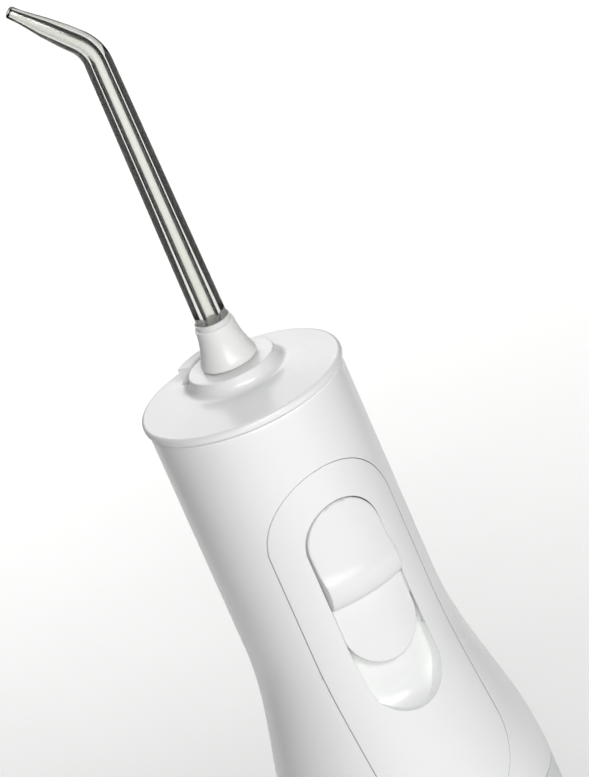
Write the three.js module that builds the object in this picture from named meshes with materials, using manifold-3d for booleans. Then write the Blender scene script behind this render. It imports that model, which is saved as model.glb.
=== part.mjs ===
// Cordless water flosser: a slim round handle with a slide switch, a clear bent jet tip that
// turns and pulls off, and a water tank below that the handle lifts away from.
// Millimetres, +Z up, origin on the floor under the handle's axis, switch side facing -Y.

import * as THREE from 'three';
import { mergeVertices } from 'three/addons/utils/BufferGeometryUtils.js';
import Module from 'manifold-3d';

const wasm = await Module();
wasm.setup();

// ---------------------------------------------------------------- driving dimensions

const GAP = 0.3;                 // clearance between neighbouring pieces

const BODY_TOP = 190;            // flat top of the cap
const NECK_R = 23.5;             // handle radius where the hand closes round it
const FOOT_R = 31.5;             // radius of the tank
const FLARE_TOP = 130;           // the handle starts to widen here
const FLARE_END = 76;            // and reaches the tank's radius here
const WALL = 2.6;                // handle shell
const TANK_WALL = 2.0;

const CAP_R = 24.2;              // the cap stands a little proud of the neck
const CAP_T = 2.0;               // thickness of the cap's visible disc
const SEAM_Z = BODY_TOP - CAP_T;

const TIP_X = 2.0;               // axis of the jet tip
const TIP_Y = 5.5;
const COLLAR_TOP = BODY_TOP + 3.5;
const HUB_H = 9.6;
const HUB_R = 6.7;               // foot of the hub's bell
const HUB_Z = COLLAR_TOP + 0.35;
const HUB_TOP = HUB_Z + HUB_H;
const STEM_R = 3.7;
const BORE_R = STEM_R + GAP;
const TIP_STRAIGHT_TOP = 270.9;
const TIP_BEND_R = 10;
const TIP_BEND = 41.5 * Math.PI / 180;
const TIP_END = 16.9;            // straight length after the bend
const TIP_HEADING = [-0.937, 0.35];   // level direction in which the tip leans

const PANEL_W = 33;              // control panel inlay
const PANEL_TOP = 172.2;
const PANEL_BOTTOM = 81;
const SLOT_W = 19.6;             // recess of the slide switch
const SLOT_TOP = 163.6;
const SLOT_BOTTOM = 109.6;
const SLOT_FLOOR_R = 20.3;
const SLIDER_BOTTOM = 122;
const SLIDER_TRAVEL = 8;

const PUMP_X = 0;                // common axis of motor, pinion and pump
const PUMP_Y = -4.5;
const GEAR_Z = 128;              // crown gear axis, which lies along Y
const GEAR_TEETH = 30;
const PINION_TEETH = 10;
const TOOTH_MODULE = 0.6;
const CRANK_R = 3.5;
const ROD_L = 16;
const WRIST_Z = GEAR_Z + CRANK_R + ROD_L;

const LID_Z = 52;                // fill door, centre height
const PORT_Z = 93;               // charging port, centre height

const FINE = 36;                 // facets round the large turned shells
const MEDIUM = 20;
const SMALL = 12;

const FRONT = [-40, -8];         // span in Y of a cut through the front wall only
const BACK = [8, 40];            // and through the back wall only

// ---------------------------------------------------------------- solids

const group = new THREE.Group();
group.name = 'water_flosser';

function toSolid(geometry) {
  const bare = geometry.index ? geometry.toNonIndexed() : geometry.clone();
  for (const name of Object.keys(bare.attributes)) {
    if (name !== 'position') bare.deleteAttribute(name);
  }
  const merged = mergeVertices(bare, 1e-4);
  const position = merged.attributes.position.array;
  const index = [];
  const source = merged.index.array;
  for (let i = 0; i < source.length; i += 3) {
    const [a, b, c] = [source[i], source[i + 1], source[i + 2]];
    if (a !== b && b !== c && c !== a) index.push(a, b, c);
  }
  if (signedVolume(position, index) < 0) index.reverse();
  return new wasm.Manifold(new wasm.Mesh({
    numProp: 3,
    vertProperties: new Float32Array(position),
    triVerts: new Uint32Array(index),
  }));
}

function signedVolume(position, index) {
  const [a, b, c] = [new THREE.Vector3(), new THREE.Vector3(), new THREE.Vector3()];
  let volume = 0;
  for (let i = 0; i < index.length; i += 3) {
    a.fromArray(position, index[i] * 3);
    b.fromArray(position, index[i + 1] * 3);
    c.fromArray(position, index[i + 2] * 3);
    volume += a.dot(b.cross(c)) / 6;
  }
  return volume;
}

function toGeometry(solid) {
  const mesh = solid.getMesh();
  const geometry = new THREE.BufferGeometry();
  geometry.setAttribute('position', new THREE.BufferAttribute(mesh.vertProperties, 3));
  geometry.setIndex(new THREE.BufferAttribute(mesh.triVerts, 1));
  geometry.computeVertexNormals();
  return geometry;
}

function join(first, ...others) {
  return others.reduce((sum, next) => sum.add(next), first);
}

function cut(first, ...others) {
  return others.reduce((rest, next) => rest.subtract(next), first);
}

// A turned solid about +Z from [radius, height] points, moved to its axis.
function turned(points, x = 0, y = 0, segments = MEDIUM) {
  const outline = points.map(([r, z]) => new THREE.Vector2(r, z));
  if (points[0][0] > 0) outline.push(outline[0].clone());
  const geometry = new THREE.LatheGeometry(outline, segments);
  geometry.rotateX(Math.PI / 2);
  geometry.translate(x, y, 0);
  return toSolid(geometry);
}

function disc(r, z0, z1, x = 0, y = 0, segments = MEDIUM) {
  return turned([[0, z0], [r, z0], [r, z1], [0, z1]], x, y, segments);
}

function ring(rIn, rOut, z0, z1, x = 0, y = 0, segments = MEDIUM) {
  return turned([[rIn, z0], [rOut, z0], [rOut, z1], [rIn, z1]], x, y, segments);
}

function box(x0, x1, y0, y1, z0, z1) {
  const geometry = new THREE.BoxGeometry(x1 - x0, y1 - y0, z1 - z0);
  geometry.translate((x0 + x1) / 2, (y0 + y1) / 2, (z0 + z1) / 2);
  return toSolid(geometry);
}

// A shape drawn as (x, z) and pushed through from y0 to y1.
function through(shape, [y0, y1], curveSegments = 5) {
  const geometry = new THREE.ExtrudeGeometry(shape, {
    depth: y1 - y0, bevelEnabled: false, curveSegments,
  });
  geometry.rotateX(Math.PI / 2);
  geometry.translate(0, y1, 0);
  return toSolid(geometry);
}

// A shape drawn as (x, y) and raised from z0 to z1.
function raised(shape, z0, z1, curveSegments = 5) {
  const geometry = new THREE.ExtrudeGeometry(shape, {
    depth: z1 - z0, bevelEnabled: false, curveSegments,
  });
  geometry.translate(0, 0, z0);
  return toSolid(geometry);
}

// A box that reaches from r0 to r1 in one direction from the axis.
function radialBox(degrees, r0, r1, halfWidth, z0, z1) {
  const geometry = new THREE.BoxGeometry(r1 - r0, 2 * halfWidth, z1 - z0);
  geometry.translate((r0 + r1) / 2, 0, (z0 + z1) / 2);
  geometry.rotateZ(degrees * Math.PI / 180);
  return toSolid(geometry);
}

// A round bar between y0 and y1 with its axis along Y.
function crossBar(r, x, z, y0, y1, segments = SMALL) {
  const geometry = new THREE.CylinderGeometry(r, r, y1 - y0, segments);
  geometry.translate(x, (y0 + y1) / 2, z);
  return toSolid(geometry);
}

// A round bar between x0 and x1 with its axis along X.
function sideBar(r, y, z, x0, x1, segments = SMALL) {
  const geometry = new THREE.CylinderGeometry(r, r, x1 - x0, segments);
  geometry.rotateZ(Math.PI / 2);
  geometry.translate((x0 + x1) / 2, y, z);
  return toSolid(geometry);
}

// An upright outline with round ends, drawn as (x, z).
function stadium(width, z0, z1) {
  const r = width / 2;
  const shape = new THREE.Shape();
  shape.moveTo(-r, z0 + r);
  shape.absarc(0, z0 + r, r, Math.PI, 2 * Math.PI, false);
  shape.absarc(0, z1 - r, r, 0, Math.PI, false);
  shape.closePath();
  return shape;
}

// The same lying down, about height z.
function wideStadium(width, height, z) {
  const r = height / 2;
  const half = width / 2 - r;
  const shape = new THREE.Shape();
  shape.absarc(half, z, r, -Math.PI / 2, Math.PI / 2, false);
  shape.absarc(-half, z, r, Math.PI / 2, 1.5 * Math.PI, false);
  shape.closePath();
  return shape;
}

function circle(r, holeR = 0) {
  const shape = new THREE.Shape();
  shape.absarc(0, 0, r, 0, 2 * Math.PI, false);
  if (holeR > 0) {
    const hole = new THREE.Path();
    hole.absarc(0, 0, holeR, 0, 2 * Math.PI, true);
    shape.holes.push(hole);
  }
  return shape;
}

// A round hose or wire that follows a curve.
function alongCurve(curve, shape, steps, curveSegments) {
  return toSolid(new THREE.ExtrudeGeometry(shape, { steps, curveSegments, extrudePath: curve }));
}

function add(name, solid, look) {
  const material = new THREE.MeshStandardMaterial(look);
  const mesh = new THREE.Mesh(toGeometry(solid), material);
  mesh.name = name;
  group.add(mesh);
}

const WHITE = { color: 0xf2f3f2, roughness: 0.32, metalness: 0 };
const TANK = { color: 0xe9eef0, roughness: 0.28, metalness: 0 };
const CLEAR = { color: 0xdadcd6, roughness: 0.05, metalness: 0, transparent: true, opacity: 0.4 };
const GREY = { color: 0x8f9599, roughness: 0.55, metalness: 0 };
const BLACK = { color: 0x1d1f21, roughness: 0.6, metalness: 0 };
const RUBBER = { color: 0x3a3d40, roughness: 0.85, metalness: 0 };
const SOFT_WHITE = { color: 0xdfe2e2, roughness: 0.75, metalness: 0 };
const STEEL = { color: 0xb9bcc0, roughness: 0.25, metalness: 1 };
const BRASS = { color: 0xc9a24a, roughness: 0.3, metalness: 1 };
const BOARD = { color: 0x1f6b3b, roughness: 0.5, metalness: 0 };
const CELL = { color: 0x2f6fa8, roughness: 0.45, metalness: 0 };

// ---------------------------------------------------------------- the body's outline

// Outer radius of the handle at height z: straight at the neck, then one smooth flare.
function bodyR(z) {
  const t = Math.min(Math.max((FLARE_TOP - z) / (FLARE_TOP - FLARE_END), 0), 1);
  return NECK_R + (FOOT_R - NECK_R) * (1 - Math.cos(Math.PI * t)) / 2;
}

const FLARE_STEPS = 5;

function flareHeights(z0, z1) {
  const heights = [z0];
  for (let i = 0; i <= FLARE_STEPS; i += 1) {
    const z = FLARE_END + (FLARE_TOP - FLARE_END) * i / FLARE_STEPS;
    if (z > z0 + 0.5 && z < z1 - 0.5) heights.push(z);
  }
  heights.push(z1);
  return heights;
}

// The solid of revolution of the handle, `inset` below its outer surface.
function bodyCore(inset, z0, z1) {
  const side = flareHeights(z0, z1).map((z) => [bodyR(z) - inset, z]);
  return turned([[0, z0], ...side, [0, z1]], 0, 0, FINE);
}

// A skin between two depths below the outer surface.
function bodySkin(outerInset, innerInset, z0, z1) {
  return cut(bodyCore(outerInset, z0, z1), bodyCore(innerInset, z0 - 1, z1 + 1));
}

// ---------------------------------------------------------------- handle shell and panel

const SHELL_BOTTOM = FLARE_END + 0.3;
const SHELL_TOP = SEAM_Z - 0.3;
const RIM_ROUND = 0.6;
const PANEL_T = 1.2;
const POCKET_DEPTH = PANEL_T + GAP;
const TUB_WALL = 1.3;
const TUB_BACK_R = 18.8;

const shellSide = flareHeights(SHELL_BOTTOM, SHELL_TOP - RIM_ROUND).map((z) => [bodyR(z), z]);
const shellOuter = turned(
  [[0, SHELL_BOTTOM], ...shellSide, [NECK_R - RIM_ROUND, SHELL_TOP], [0, SHELL_TOP]], 0, 0, FINE);

const BOSS_R = 3.4;
const BOSS_PITCH = 23.4;
const BULKHEAD_TOP = 81;
const BOSS_TOP = 93;
const BOSS_ANGLES = [32, 148, 225, 315];

function polar(radius, degrees) {
  const a = degrees * Math.PI / 180;
  return [radius * Math.cos(a), radius * Math.sin(a)];
}

let shell = cut(shellOuter, bodyCore(WALL, SHELL_BOTTOM - 1, SHELL_TOP + 1));
for (const angle of BOSS_ANGLES) {
  const [x, y] = polar(BOSS_PITCH, angle);
  const post = disc(BOSS_R, BULKHEAD_TOP + GAP, BOSS_TOP, x, y, SMALL);
  const rib = radialBox(angle, BOSS_PITCH, FOOT_R, 1.2, BULKHEAD_TOP + GAP, BOSS_TOP);
  const boss = join(post, rib).intersect(bodyCore(WALL - 0.5, 78, 95));
  shell = cut(join(shell, boss), disc(1.5, 78, 91, x, y, SMALL));
}
const tubHole = through(stadium(SLOT_W + 2 * TUB_WALL + 2 * GAP, SLOT_BOTTOM - TUB_WALL - GAP,
  SLOT_TOP + TUB_WALL + GAP), FRONT);
const panelPocket = through(stadium(PANEL_W + 2 * GAP, PANEL_BOTTOM - GAP, PANEL_TOP + GAP), FRONT)
  .intersect(bodySkin(-2, POCKET_DEPTH, PANEL_BOTTOM - 2, PANEL_TOP + 2));
shell = cut(shell, tubHole, panelPocket);

// Face plate, tub and scooped floor of the switch recess are one moulding.
const SCOOP_Z = SLOT_BOTTOM + 6;
const SCOOP_STEPS = 5;
const facePlate = through(stadium(PANEL_W, PANEL_BOTTOM, PANEL_TOP), FRONT)
  .intersect(bodySkin(0, PANEL_T, PANEL_BOTTOM - 2, PANEL_TOP + 2));
const tub = through(stadium(SLOT_W + 2 * TUB_WALL, SLOT_BOTTOM - TUB_WALL, SLOT_TOP + TUB_WALL), FRONT)
  .intersect(cut(bodyCore(0.6, 100, 170), disc(TUB_BACK_R, 99, 171, 0, 0, FINE)));

// Quarter-ellipse rise of the floor up to the face at the recess's lower end.
function floorProfile() {
  const lip = bodyR(SLOT_BOTTOM) - 0.4;
  const points = [[0, SLOT_BOTTOM - 4], [lip, SLOT_BOTTOM - 4]];
  for (let i = 0; i <= SCOOP_STEPS; i += 1) {
    const a = Math.PI / 2 * i / SCOOP_STEPS;
    const r = SLOT_FLOOR_R + (lip - SLOT_FLOOR_R) * (1 - Math.sin(a));
    points.push([r, SLOT_BOTTOM + (SCOOP_Z - SLOT_BOTTOM) * (1 - Math.cos(a))]);
  }
  points.push([SLOT_FLOOR_R, SLOT_TOP + 3], [0, SLOT_TOP + 3]);
  return points;
}

const floorCore = turned(floorProfile(), 0, 0, FINE);
const slotCutter = cut(through(stadium(SLOT_W, SLOT_BOTTOM, SLOT_TOP), FRONT), floorCore);
const RAIL_Y0 = -20.0;
const RAIL_Y1 = -18.9;
const RAIL_Z0 = 133;
const RAIL_Z1 = 152;
const RAIL_OUT = 0.8;            // how far the slider's rails reach into the recess's side walls
const grooveHalf = SLOT_W / 2 + RAIL_OUT + 0.1;
const railGroove = box(-grooveHalf, grooveHalf, RAIL_Y0 - 0.25, RAIL_Y1 + 0.25,
  RAIL_Z0 - SLIDER_TRAVEL - GAP, RAIL_Z1 + GAP);
const grooveInTub = cut(railGroove, box(-8.5, 8.5, -30, 0, 100, 170));
const controlPanel = cut(join(facePlate, tub), slotCutter, grooveInTub);

add('control_panel', controlPanel, WHITE);

// ---------------------------------------------------------------- slide switch

// Relief of the slider's face along its length: [height, rise above the neck's surface].
const SLIDER_FACE = [
  [SLIDER_BOTTOM - 1, -0.8], [139.2, -0.8], [140.2, 1.0], [142.5, 2.1], [145.3, 2.3],
  [149.5, 1.7], [155.5, 0.6], [SLOT_TOP, 0.1],
];
const sliderFace = turned([
  [0, SLIDER_BOTTOM - 1],
  ...SLIDER_FACE.map(([z, rise]) => [NECK_R + rise, z]),
  [0, SLOT_TOP],
], 0, 0, FINE);
const SLIDER_BACK_R = SLOT_FLOOR_R + GAP;
const MAGNET = { half: 3, y0: -21.7, y1: -20.9, z0: 150, z1: 158 };
let slider = through(stadium(SLOT_W - 2 * GAP, SLIDER_BOTTOM, SLOT_TOP - GAP), FRONT)
  .intersect(cut(sliderFace, disc(SLIDER_BACK_R, 100, 170, 0, 0, FINE)));
for (const side of [-1, 1]) {
  const edge = side * (SLOT_W / 2 - GAP);
  const [inner, outer] = [edge - side, edge + side * RAIL_OUT];
  slider = join(slider, box(Math.min(inner, outer), Math.max(inner, outer),
    RAIL_Y0, RAIL_Y1, RAIL_Z0, RAIL_Z1));
}
slider = cut(slider, box(-MAGNET.half - GAP, MAGNET.half + GAP, MAGNET.y0 - GAP, -15,
  MAGNET.z0 - GAP, MAGNET.z1 + GAP));
add('slide_switch', slider, WHITE);
add('switch_magnet', box(-MAGNET.half, MAGNET.half, MAGNET.y0, MAGNET.y1, MAGNET.z0, MAGNET.z1), STEEL);

// ---------------------------------------------------------------- top cap, collar and eject button

const BUTTON_R0 = 10.6;
const BUTTON_R1 = 14.0;
const BUTTON_HALF = 38 * Math.PI / 180;
const BUTTON_TOP = BODY_TOP + 3.9;
const SPIGOT_Z = 183;

// A ring sector round the tip's axis, centred on +Y.
function sector(r0, r1, half) {
  const shape = new THREE.Shape();
  const mid = Math.PI / 2;
  shape.absarc(TIP_X, TIP_Y, r1, mid - half, mid + half, false);
  shape.absarc(TIP_X, TIP_Y, r0, mid + half, mid - half, true);
  shape.closePath();
  return shape;
}

const capDisc = turned([
  [0, SEAM_Z], [CAP_R - 0.3, SEAM_Z], [CAP_R, SEAM_Z + 0.3], [CAP_R, BODY_TOP - 0.8],
  [CAP_R - 0.4, BODY_TOP - 0.2], [CAP_R - 0.9, BODY_TOP], [0, BODY_TOP],
], 0, 0, FINE);
const spigot = ring(18.6, NECK_R - WALL - GAP, SPIGOT_Z, SEAM_Z + 0.5, 0, 0, FINE);
const collar = turned([
  [0, BODY_TOP - 0.5], [12.4, BODY_TOP - 0.5], [12.2, BODY_TOP + 0.02], [11.0, BODY_TOP + 0.7],
  [10.4, BODY_TOP + 2.2], [10.0, BODY_TOP + 3.2], [9.5, COLLAR_TOP],
  [0, COLLAR_TOP],
], TIP_X, TIP_Y, 24);
const buttonHole = raised(sector(BUTTON_R0 - GAP, BUTTON_R1 + GAP, BUTTON_HALF + 0.03),
  SPIGOT_Z - 1, BODY_TOP + 6);
const stemHole = disc(BORE_R, SPIGOT_Z - 1, BODY_TOP + 6, TIP_X, TIP_Y);
const topCap = cut(join(capDisc, spigot, collar), buttonHole, stemHole);
add('top_cap', topCap, WHITE);

const FOOT_Z0 = 183.4;
const FOOT_Z1 = 185.2;
const buttonBody = raised(sector(BUTTON_R0, BUTTON_R1, BUTTON_HALF), FOOT_Z0, BUTTON_TOP);
const latchFoot = raised(sector(6.6, BUTTON_R0 + 0.5, BUTTON_HALF), FOOT_Z0, FOOT_Z1);
add('eject_button', join(buttonBody, latchFoot), WHITE);

// ---------------------------------------------------------------- nozzle socket and eject spring

const SOCKET_TOP = 187.4;
const SOCKET_BOTTOM = 177;
const SHELF_Z = 174.5;
const SPRING_Y = TIP_Y + 10.2;
const socketTube = turned([
  [1.2, 172], [2.3, 172], [2.3, 175], [6, 175.4], [6, SOCKET_TOP], [BORE_R, SOCKET_TOP],
  [BORE_R, SOCKET_BOTTOM + 1.5], [1.2, SOCKET_BOTTOM],
], TIP_X, TIP_Y);
const shelf = box(TIP_X - 4, TIP_X + 4, TIP_Y + 4.5, TIP_Y + 13.4, SHELF_Z, SHELF_Z + 1.6);
add('nozzle_socket', join(socketTube, shelf), WHITE);

class Helix extends THREE.Curve {
  constructor(x, y, z0, z1, radius, turns) {
    super();
    Object.assign(this, { x, y, z0, z1, radius, turns });
  }

  getPoint(t, target = new THREE.Vector3()) {
    const a = 2 * Math.PI * this.turns * t;
    return target.set(this.x + this.radius * Math.cos(a), this.y + this.radius * Math.sin(a),
      this.z0 + (this.z1 - this.z0) * t);
  }
}

function spring(x, y, z0, z1, radius, wire, turns) {
  const path = new Helix(x, y, z0 + wire, z1 - wire, radius, turns);
  return alongCurve(path, circle(wire), turns * 10, 2);
}

add('eject_spring', spring(TIP_X, SPRING_Y, SHELF_Z + 1.6 + 0.2, FOOT_Z0 - 0.2, 2.2, 0.3, 5), STEEL);

// ---------------------------------------------------------------- jet tip

const STEM_BOTTOM = 179.6;
const TUBE_FOOT = HUB_Z + 3.2;
const hubProfile = [
  [1.3, STEM_BOTTOM], [STEM_R - 0.5, STEM_BOTTOM], [STEM_R, STEM_BOTTOM + 0.6],
  [STEM_R, 184.4], [2.75, 184.4], [2.75, 185.8], [STEM_R, 185.8], [STEM_R, HUB_Z],
  [HUB_R - 0.4, HUB_Z], [HUB_R, HUB_Z + 0.6], [HUB_R - 0.25, HUB_Z + 1.8], [5.65, HUB_Z + 4.2],
  [4.85, HUB_TOP - 0.6], [4.7, HUB_TOP], [4.25, HUB_TOP],
  [4.2, TUBE_FOOT - GAP], [1.3, TUBE_FOOT - GAP],
];
add('nozzle_hub', turned(hubProfile, TIP_X, TIP_Y), WHITE);

function torusProfile(radius, section, z, steps = 6) {
  const points = [];
  for (let i = 0; i < steps; i += 1) {
    const a = 2 * Math.PI * i / steps;
    points.push([radius + section * Math.cos(a), z + section * Math.sin(a)]);
  }
  return points;
}

add('nozzle_o_ring', turned(torusProfile(3.4, 0.45, 185.1), TIP_X, TIP_Y, 24), RUBBER);

// Straight-line reading of a table of [position, value] pairs.
function stepped(table, t) {
  const i = Math.max(table.findIndex(([at]) => at >= t - 1e-9), 1);
  const [[t0, v0], [t1, v1]] = [table[i - 1], table[i]];
  return v0 + (v1 - v0) * (t - t0) / (t1 - t0);
}

const heading = new THREE.Vector3(TIP_HEADING[0], TIP_HEADING[1], 0).normalize();

// Sections are spaced by `t`, close together in the bend and far apart in the straight riser.
class TipPath extends THREE.Curve {
  constructor() {
    super();
    this.riser = TIP_STRAIGHT_TOP - TUBE_FOOT;
    this.arc = TIP_BEND_R * TIP_BEND;
  }

  getUtoTmapping(u) {
    return u;
  }

  getPoint(t, target = new THREE.Vector3()) {
    const s = stepped([[0, 0], [0.2, this.riser], [0.6, this.riser + this.arc],
      [1, this.riser + this.arc + TIP_END]], t);
    const bend = Math.min(Math.max((s - this.riser) / TIP_BEND_R, 0), TIP_BEND);
    const after = Math.max(s - this.riser - this.arc, 0);
    const out = TIP_BEND_R * (1 - Math.cos(bend)) + after * Math.sin(bend);
    const up = Math.min(s, this.riser) + TIP_BEND_R * Math.sin(bend) + after * Math.cos(bend);
    return target.set(TIP_X, TIP_Y, TUBE_FOOT + up).addScaledVector(heading, out);
  }
}

// Outer and bore radius along the tip, from the foot inside the hub to the orifice.
const TIP_RADII = [[0, 3.85], [0.2, 3.2], [0.6, 2.75], [0.8, 2.25], [0.95, 1.45], [1, 1.45]];
const BORE_RADII = [[0, 1.3], [0.8, 1.2], [1, 0.5]];

function taperedTube(path, steps) {
  const plainOuter = 3;
  const plainBore = 1;
  const geometry = new THREE.ExtrudeGeometry(circle(plainOuter, plainBore),
    { steps, curveSegments: 6, extrudePath: path });
  const centres = path.getSpacedPoints(steps);
  const position = geometry.attributes.position;
  const point = new THREE.Vector3();
  for (let i = 0; i < position.count; i += 1) {
    point.fromBufferAttribute(position, i);
    const distances = centres.map((centre) => centre.distanceTo(point));
    const nearest = distances.indexOf(Math.min(...distances));
    const t = nearest / steps;
    const isBore = distances[nearest] < (plainOuter + plainBore) / 2;
    const scale = isBore ? stepped(BORE_RADII, t) / plainBore : stepped(TIP_RADII, t) / plainOuter;
    point.sub(centres[nearest]).multiplyScalar(scale).add(centres[nearest]);
    position.setXYZ(i, point.x, point.y, point.z);
  }
  return toSolid(geometry);
}

add('nozzle_tube', taperedTube(new TipPath(), 20), CLEAR);

// ---------------------------------------------------------------- doors in the back wall

const LEAF_LIFT = 1.3;           // a door's leaf sits this far above its doorway's middle
const LEAF_T = 1.8;
const KNUCKLE_R = 1.45;          // room round the hinge pin, which lies this deep in the wall
const PIN_R = 0.5;
const PIN_HALF = 4.5;
const TONGUE_HALF = 2.2;         // the leaf's tongue that turns on the pin
const TONGUE_R = 1.15;
const TONGUE_H = 3.2;
const FRAME_MARGIN = 2.5;

// A flush stadium door in the back wall with a pin hinge at its lower edge, and the wall's
// thickened frame that it closes into. `surface(inset)` is the wall's outer solid and
// `radiusAt(height)` its radius.
function doorway({ width, height, z, surface, radiusAt, seatDepth, frameDepth, mouthW, mouthH }) {
  const pinZ = z - height / 2 - 0.2;
  const pinY = radiusAt(pinZ) - KNUCKLE_R;
  const leafZ = z + LEAF_LIFT;
  const leafH = height - 2 * LEAF_LIFT;
  const leaf = through(wideStadium(width, leafH, leafZ), BACK).intersect(
    cut(surface(0), surface(LEAF_T)));
  const tongue = join(sideBar(TONGUE_R, pinY, pinZ, -TONGUE_HALF, TONGUE_HALF),
    box(-TONGUE_HALF, TONGUE_HALF, pinY - 0.9, pinY + 1.0, pinZ, pinZ + TONGUE_H));
  const pinHole = sideBar(PIN_R + 0.25, pinY, pinZ, -8, 8);
  const frame = through(wideStadium(width + 2 * FRAME_MARGIN, height + 2 * FRAME_MARGIN, z), BACK)
    .intersect(cut(surface(0.4), surface(frameDepth)));
  const pocket = through(wideStadium(width + 2 * GAP, leafH + 2 * GAP, leafZ), BACK).intersect(
    cut(surface(-3), surface(seatDepth)));
  const knuckleSpace = join(
    box(-TONGUE_HALF - GAP, TONGUE_HALF + GAP, pinY - KNUCKLE_R, BACK[1],
      pinZ - KNUCKLE_R, pinZ + TONGUE_H + GAP),
    sideBar(PIN_R + 0.05, pinY, pinZ, -PIN_HALF - 0.1, PIN_HALF + 0.1));
  const mouth = through(wideStadium(mouthW, mouthH, leafZ), BACK);
  return {
    door: cut(join(leaf, tongue), pinHole),
    cutWall: (wall) => cut(join(wall, frame), pocket, knuckleSpace, mouth),
    pin: sideBar(PIN_R, pinY, pinZ, -PIN_HALF, PIN_HALF),
  };
}

const port = doorway({
  width: 15,
  height: 11,
  z: PORT_Z,
  surface: (inset) => bodyCore(inset, PORT_Z - 12, PORT_Z + 12),
  radiusAt: bodyR,
  seatDepth: 2.2,
  frameDepth: 4.0,
  mouthW: 9.4,
  mouthH: 5.6,
});
add('handle_shell', port.cutWall(shell), WHITE);
add('port_cover', port.door, SOFT_WHITE);
add('port_hinge_pin', port.pin, STEEL);

const socketZ = PORT_Z + LEAF_LIFT;
const socketFace = bodyR(PORT_Z) - 2.9;
const socketBlock = box(-6, 6, socketFace - 8.5, socketFace - 4.4, socketZ - 4, socketZ + 4);
const socketNose = through(wideStadium(8.8, 5.0, socketZ), [socketFace - 5, socketFace]);
const socketPins = [-1.8, 1.8].map((x) => crossBar(0.6, x, socketZ, socketFace - 8, socketFace - 1.5));
const socketCavity = cut(through(wideStadium(7.2, 3.4, socketZ), [socketFace - 7, socketFace + 1]),
  ...socketPins);
add('charge_socket', cut(join(socketBlock, socketNose), socketCavity), BLACK);

// ---------------------------------------------------------------- tank

const TANK_TOP = FLARE_END;
const TANK_BOTTOM = 2.0;
const TANK_FOOT_R = 30.2;
const FOOT_ROUND = 4;

function tankSide() {
  const points = [];
  for (let i = 0; i <= 3; i += 1) {
    const a = Math.PI / 2 * i / 3;
    points.push([TANK_FOOT_R - FOOT_ROUND + FOOT_ROUND * Math.sin(a),
      TANK_BOTTOM + FOOT_ROUND * (1 - Math.cos(a))]);
  }
  points.push([FOOT_R - 0.55, 26], [FOOT_R, 44], [FOOT_R, TANK_TOP]);
  return points;
}

function tankCore(inset) {
  const side = tankSide().map(([r, z]) => [r - inset, z === TANK_TOP ? z + inset : z + inset * (z < 10)]);
  return turned([[0, TANK_BOTTOM + inset], ...side, [0, TANK_TOP + inset]], 0, 0, FINE);
}

const FOOT_RING_R0 = 22;
const FOOT_RING_R1 = 26;
let tank = cut(tankCore(0), tankCore(TANK_WALL));
tank = cut(tank, ring(FOOT_RING_R0 - GAP, FOOT_RING_R1 + GAP, 0, TANK_BOTTOM + 0.9, 0, 0, FINE));
const fill = doorway({
  width: 25,
  height: 18,
  z: LID_Z,
  surface: (inset) => disc(FOOT_R - inset, LID_Z - 16, LID_Z + 16, 0, 0, FINE),
  radiusAt: () => FOOT_R,
  seatDepth: 3.3,
  frameDepth: 5.0,
  mouthW: 17.5,
  mouthH: 9,
});
add('reservoir_tank', fill.cutWall(tank), TANK);
add('fill_lid', fill.door, WHITE);
add('lid_hinge_pin', fill.pin, STEEL);
const gasketZ = LID_Z + LEAF_LIFT;
const gasketBand = cut(disc(FOOT_R - 2.0, LID_Z - 12, LID_Z + 14, 0, 0, FINE),
  disc(FOOT_R - 3.0, LID_Z - 13, LID_Z + 15, 0, 0, FINE));
const gasketOutline = cut(through(wideStadium(23, 13.2, gasketZ), BACK),
  through(wideStadium(18.4, 9.8, gasketZ), [BACK[0] - 1, BACK[1] + 1]),
  box(-3, 3, ...BACK, gasketZ - 8, gasketZ - 6.0));
add('lid_gasket', gasketBand.intersect(gasketOutline), RUBBER);
add('foot_ring', turned([
  [FOOT_RING_R0, 0], [FOOT_RING_R1, 0], [FOOT_RING_R1, TANK_BOTTOM + 0.6],
  [FOOT_RING_R0, TANK_BOTTOM + 0.6],
], 0, 0, FINE), RUBBER);

// ---------------------------------------------------------------- bulkhead, seal and screws

const PLUG_R = 28.9;
const PLUG_IN_R = 26.8;
const PLUG_BOTTOM = 70;
const INTAKE_X = -13.5;
const INTAKE_Y = -4.5;
const HOSE_R = 2.2;
const GROMMET_R = 4.2;
const SEAL_Z = 72.6;
const SCREW_HEAD_Z = 77.5;

let bulkhead = turned([
  [0, 77.2], [PLUG_IN_R, 77.2], [PLUG_IN_R, PLUG_BOTTOM], [PLUG_R, PLUG_BOTTOM],
  [PLUG_R, SEAL_Z - 0.8], [PLUG_R - 1.0, SEAL_Z - 0.8],
  [PLUG_R - 1.0, SEAL_Z + 0.8], [PLUG_R, SEAL_Z + 0.8], [PLUG_R, FLARE_END], [28.3, SHELL_BOTTOM],
  [28.3, BULKHEAD_TOP], [0, BULKHEAD_TOP],
], 0, 0, 28);
bulkhead = cut(bulkhead, disc(GROMMET_R - 0.9 + GAP, 76, 83, INTAKE_X, INTAKE_Y, SMALL));
for (const angle of BOSS_ANGLES) {
  const [x, y] = polar(BOSS_PITCH, angle);
  bulkhead = cut(bulkhead, disc(2.9, 76, 79.2, x, y, SMALL), disc(1.7, 76, 83, x, y, SMALL));
}
add('bulkhead', bulkhead, GREY);
add('tank_seal', turned(torusProfile(28.55, 0.6, SEAL_Z, 5), 0, 0, 28), RUBBER);

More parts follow.
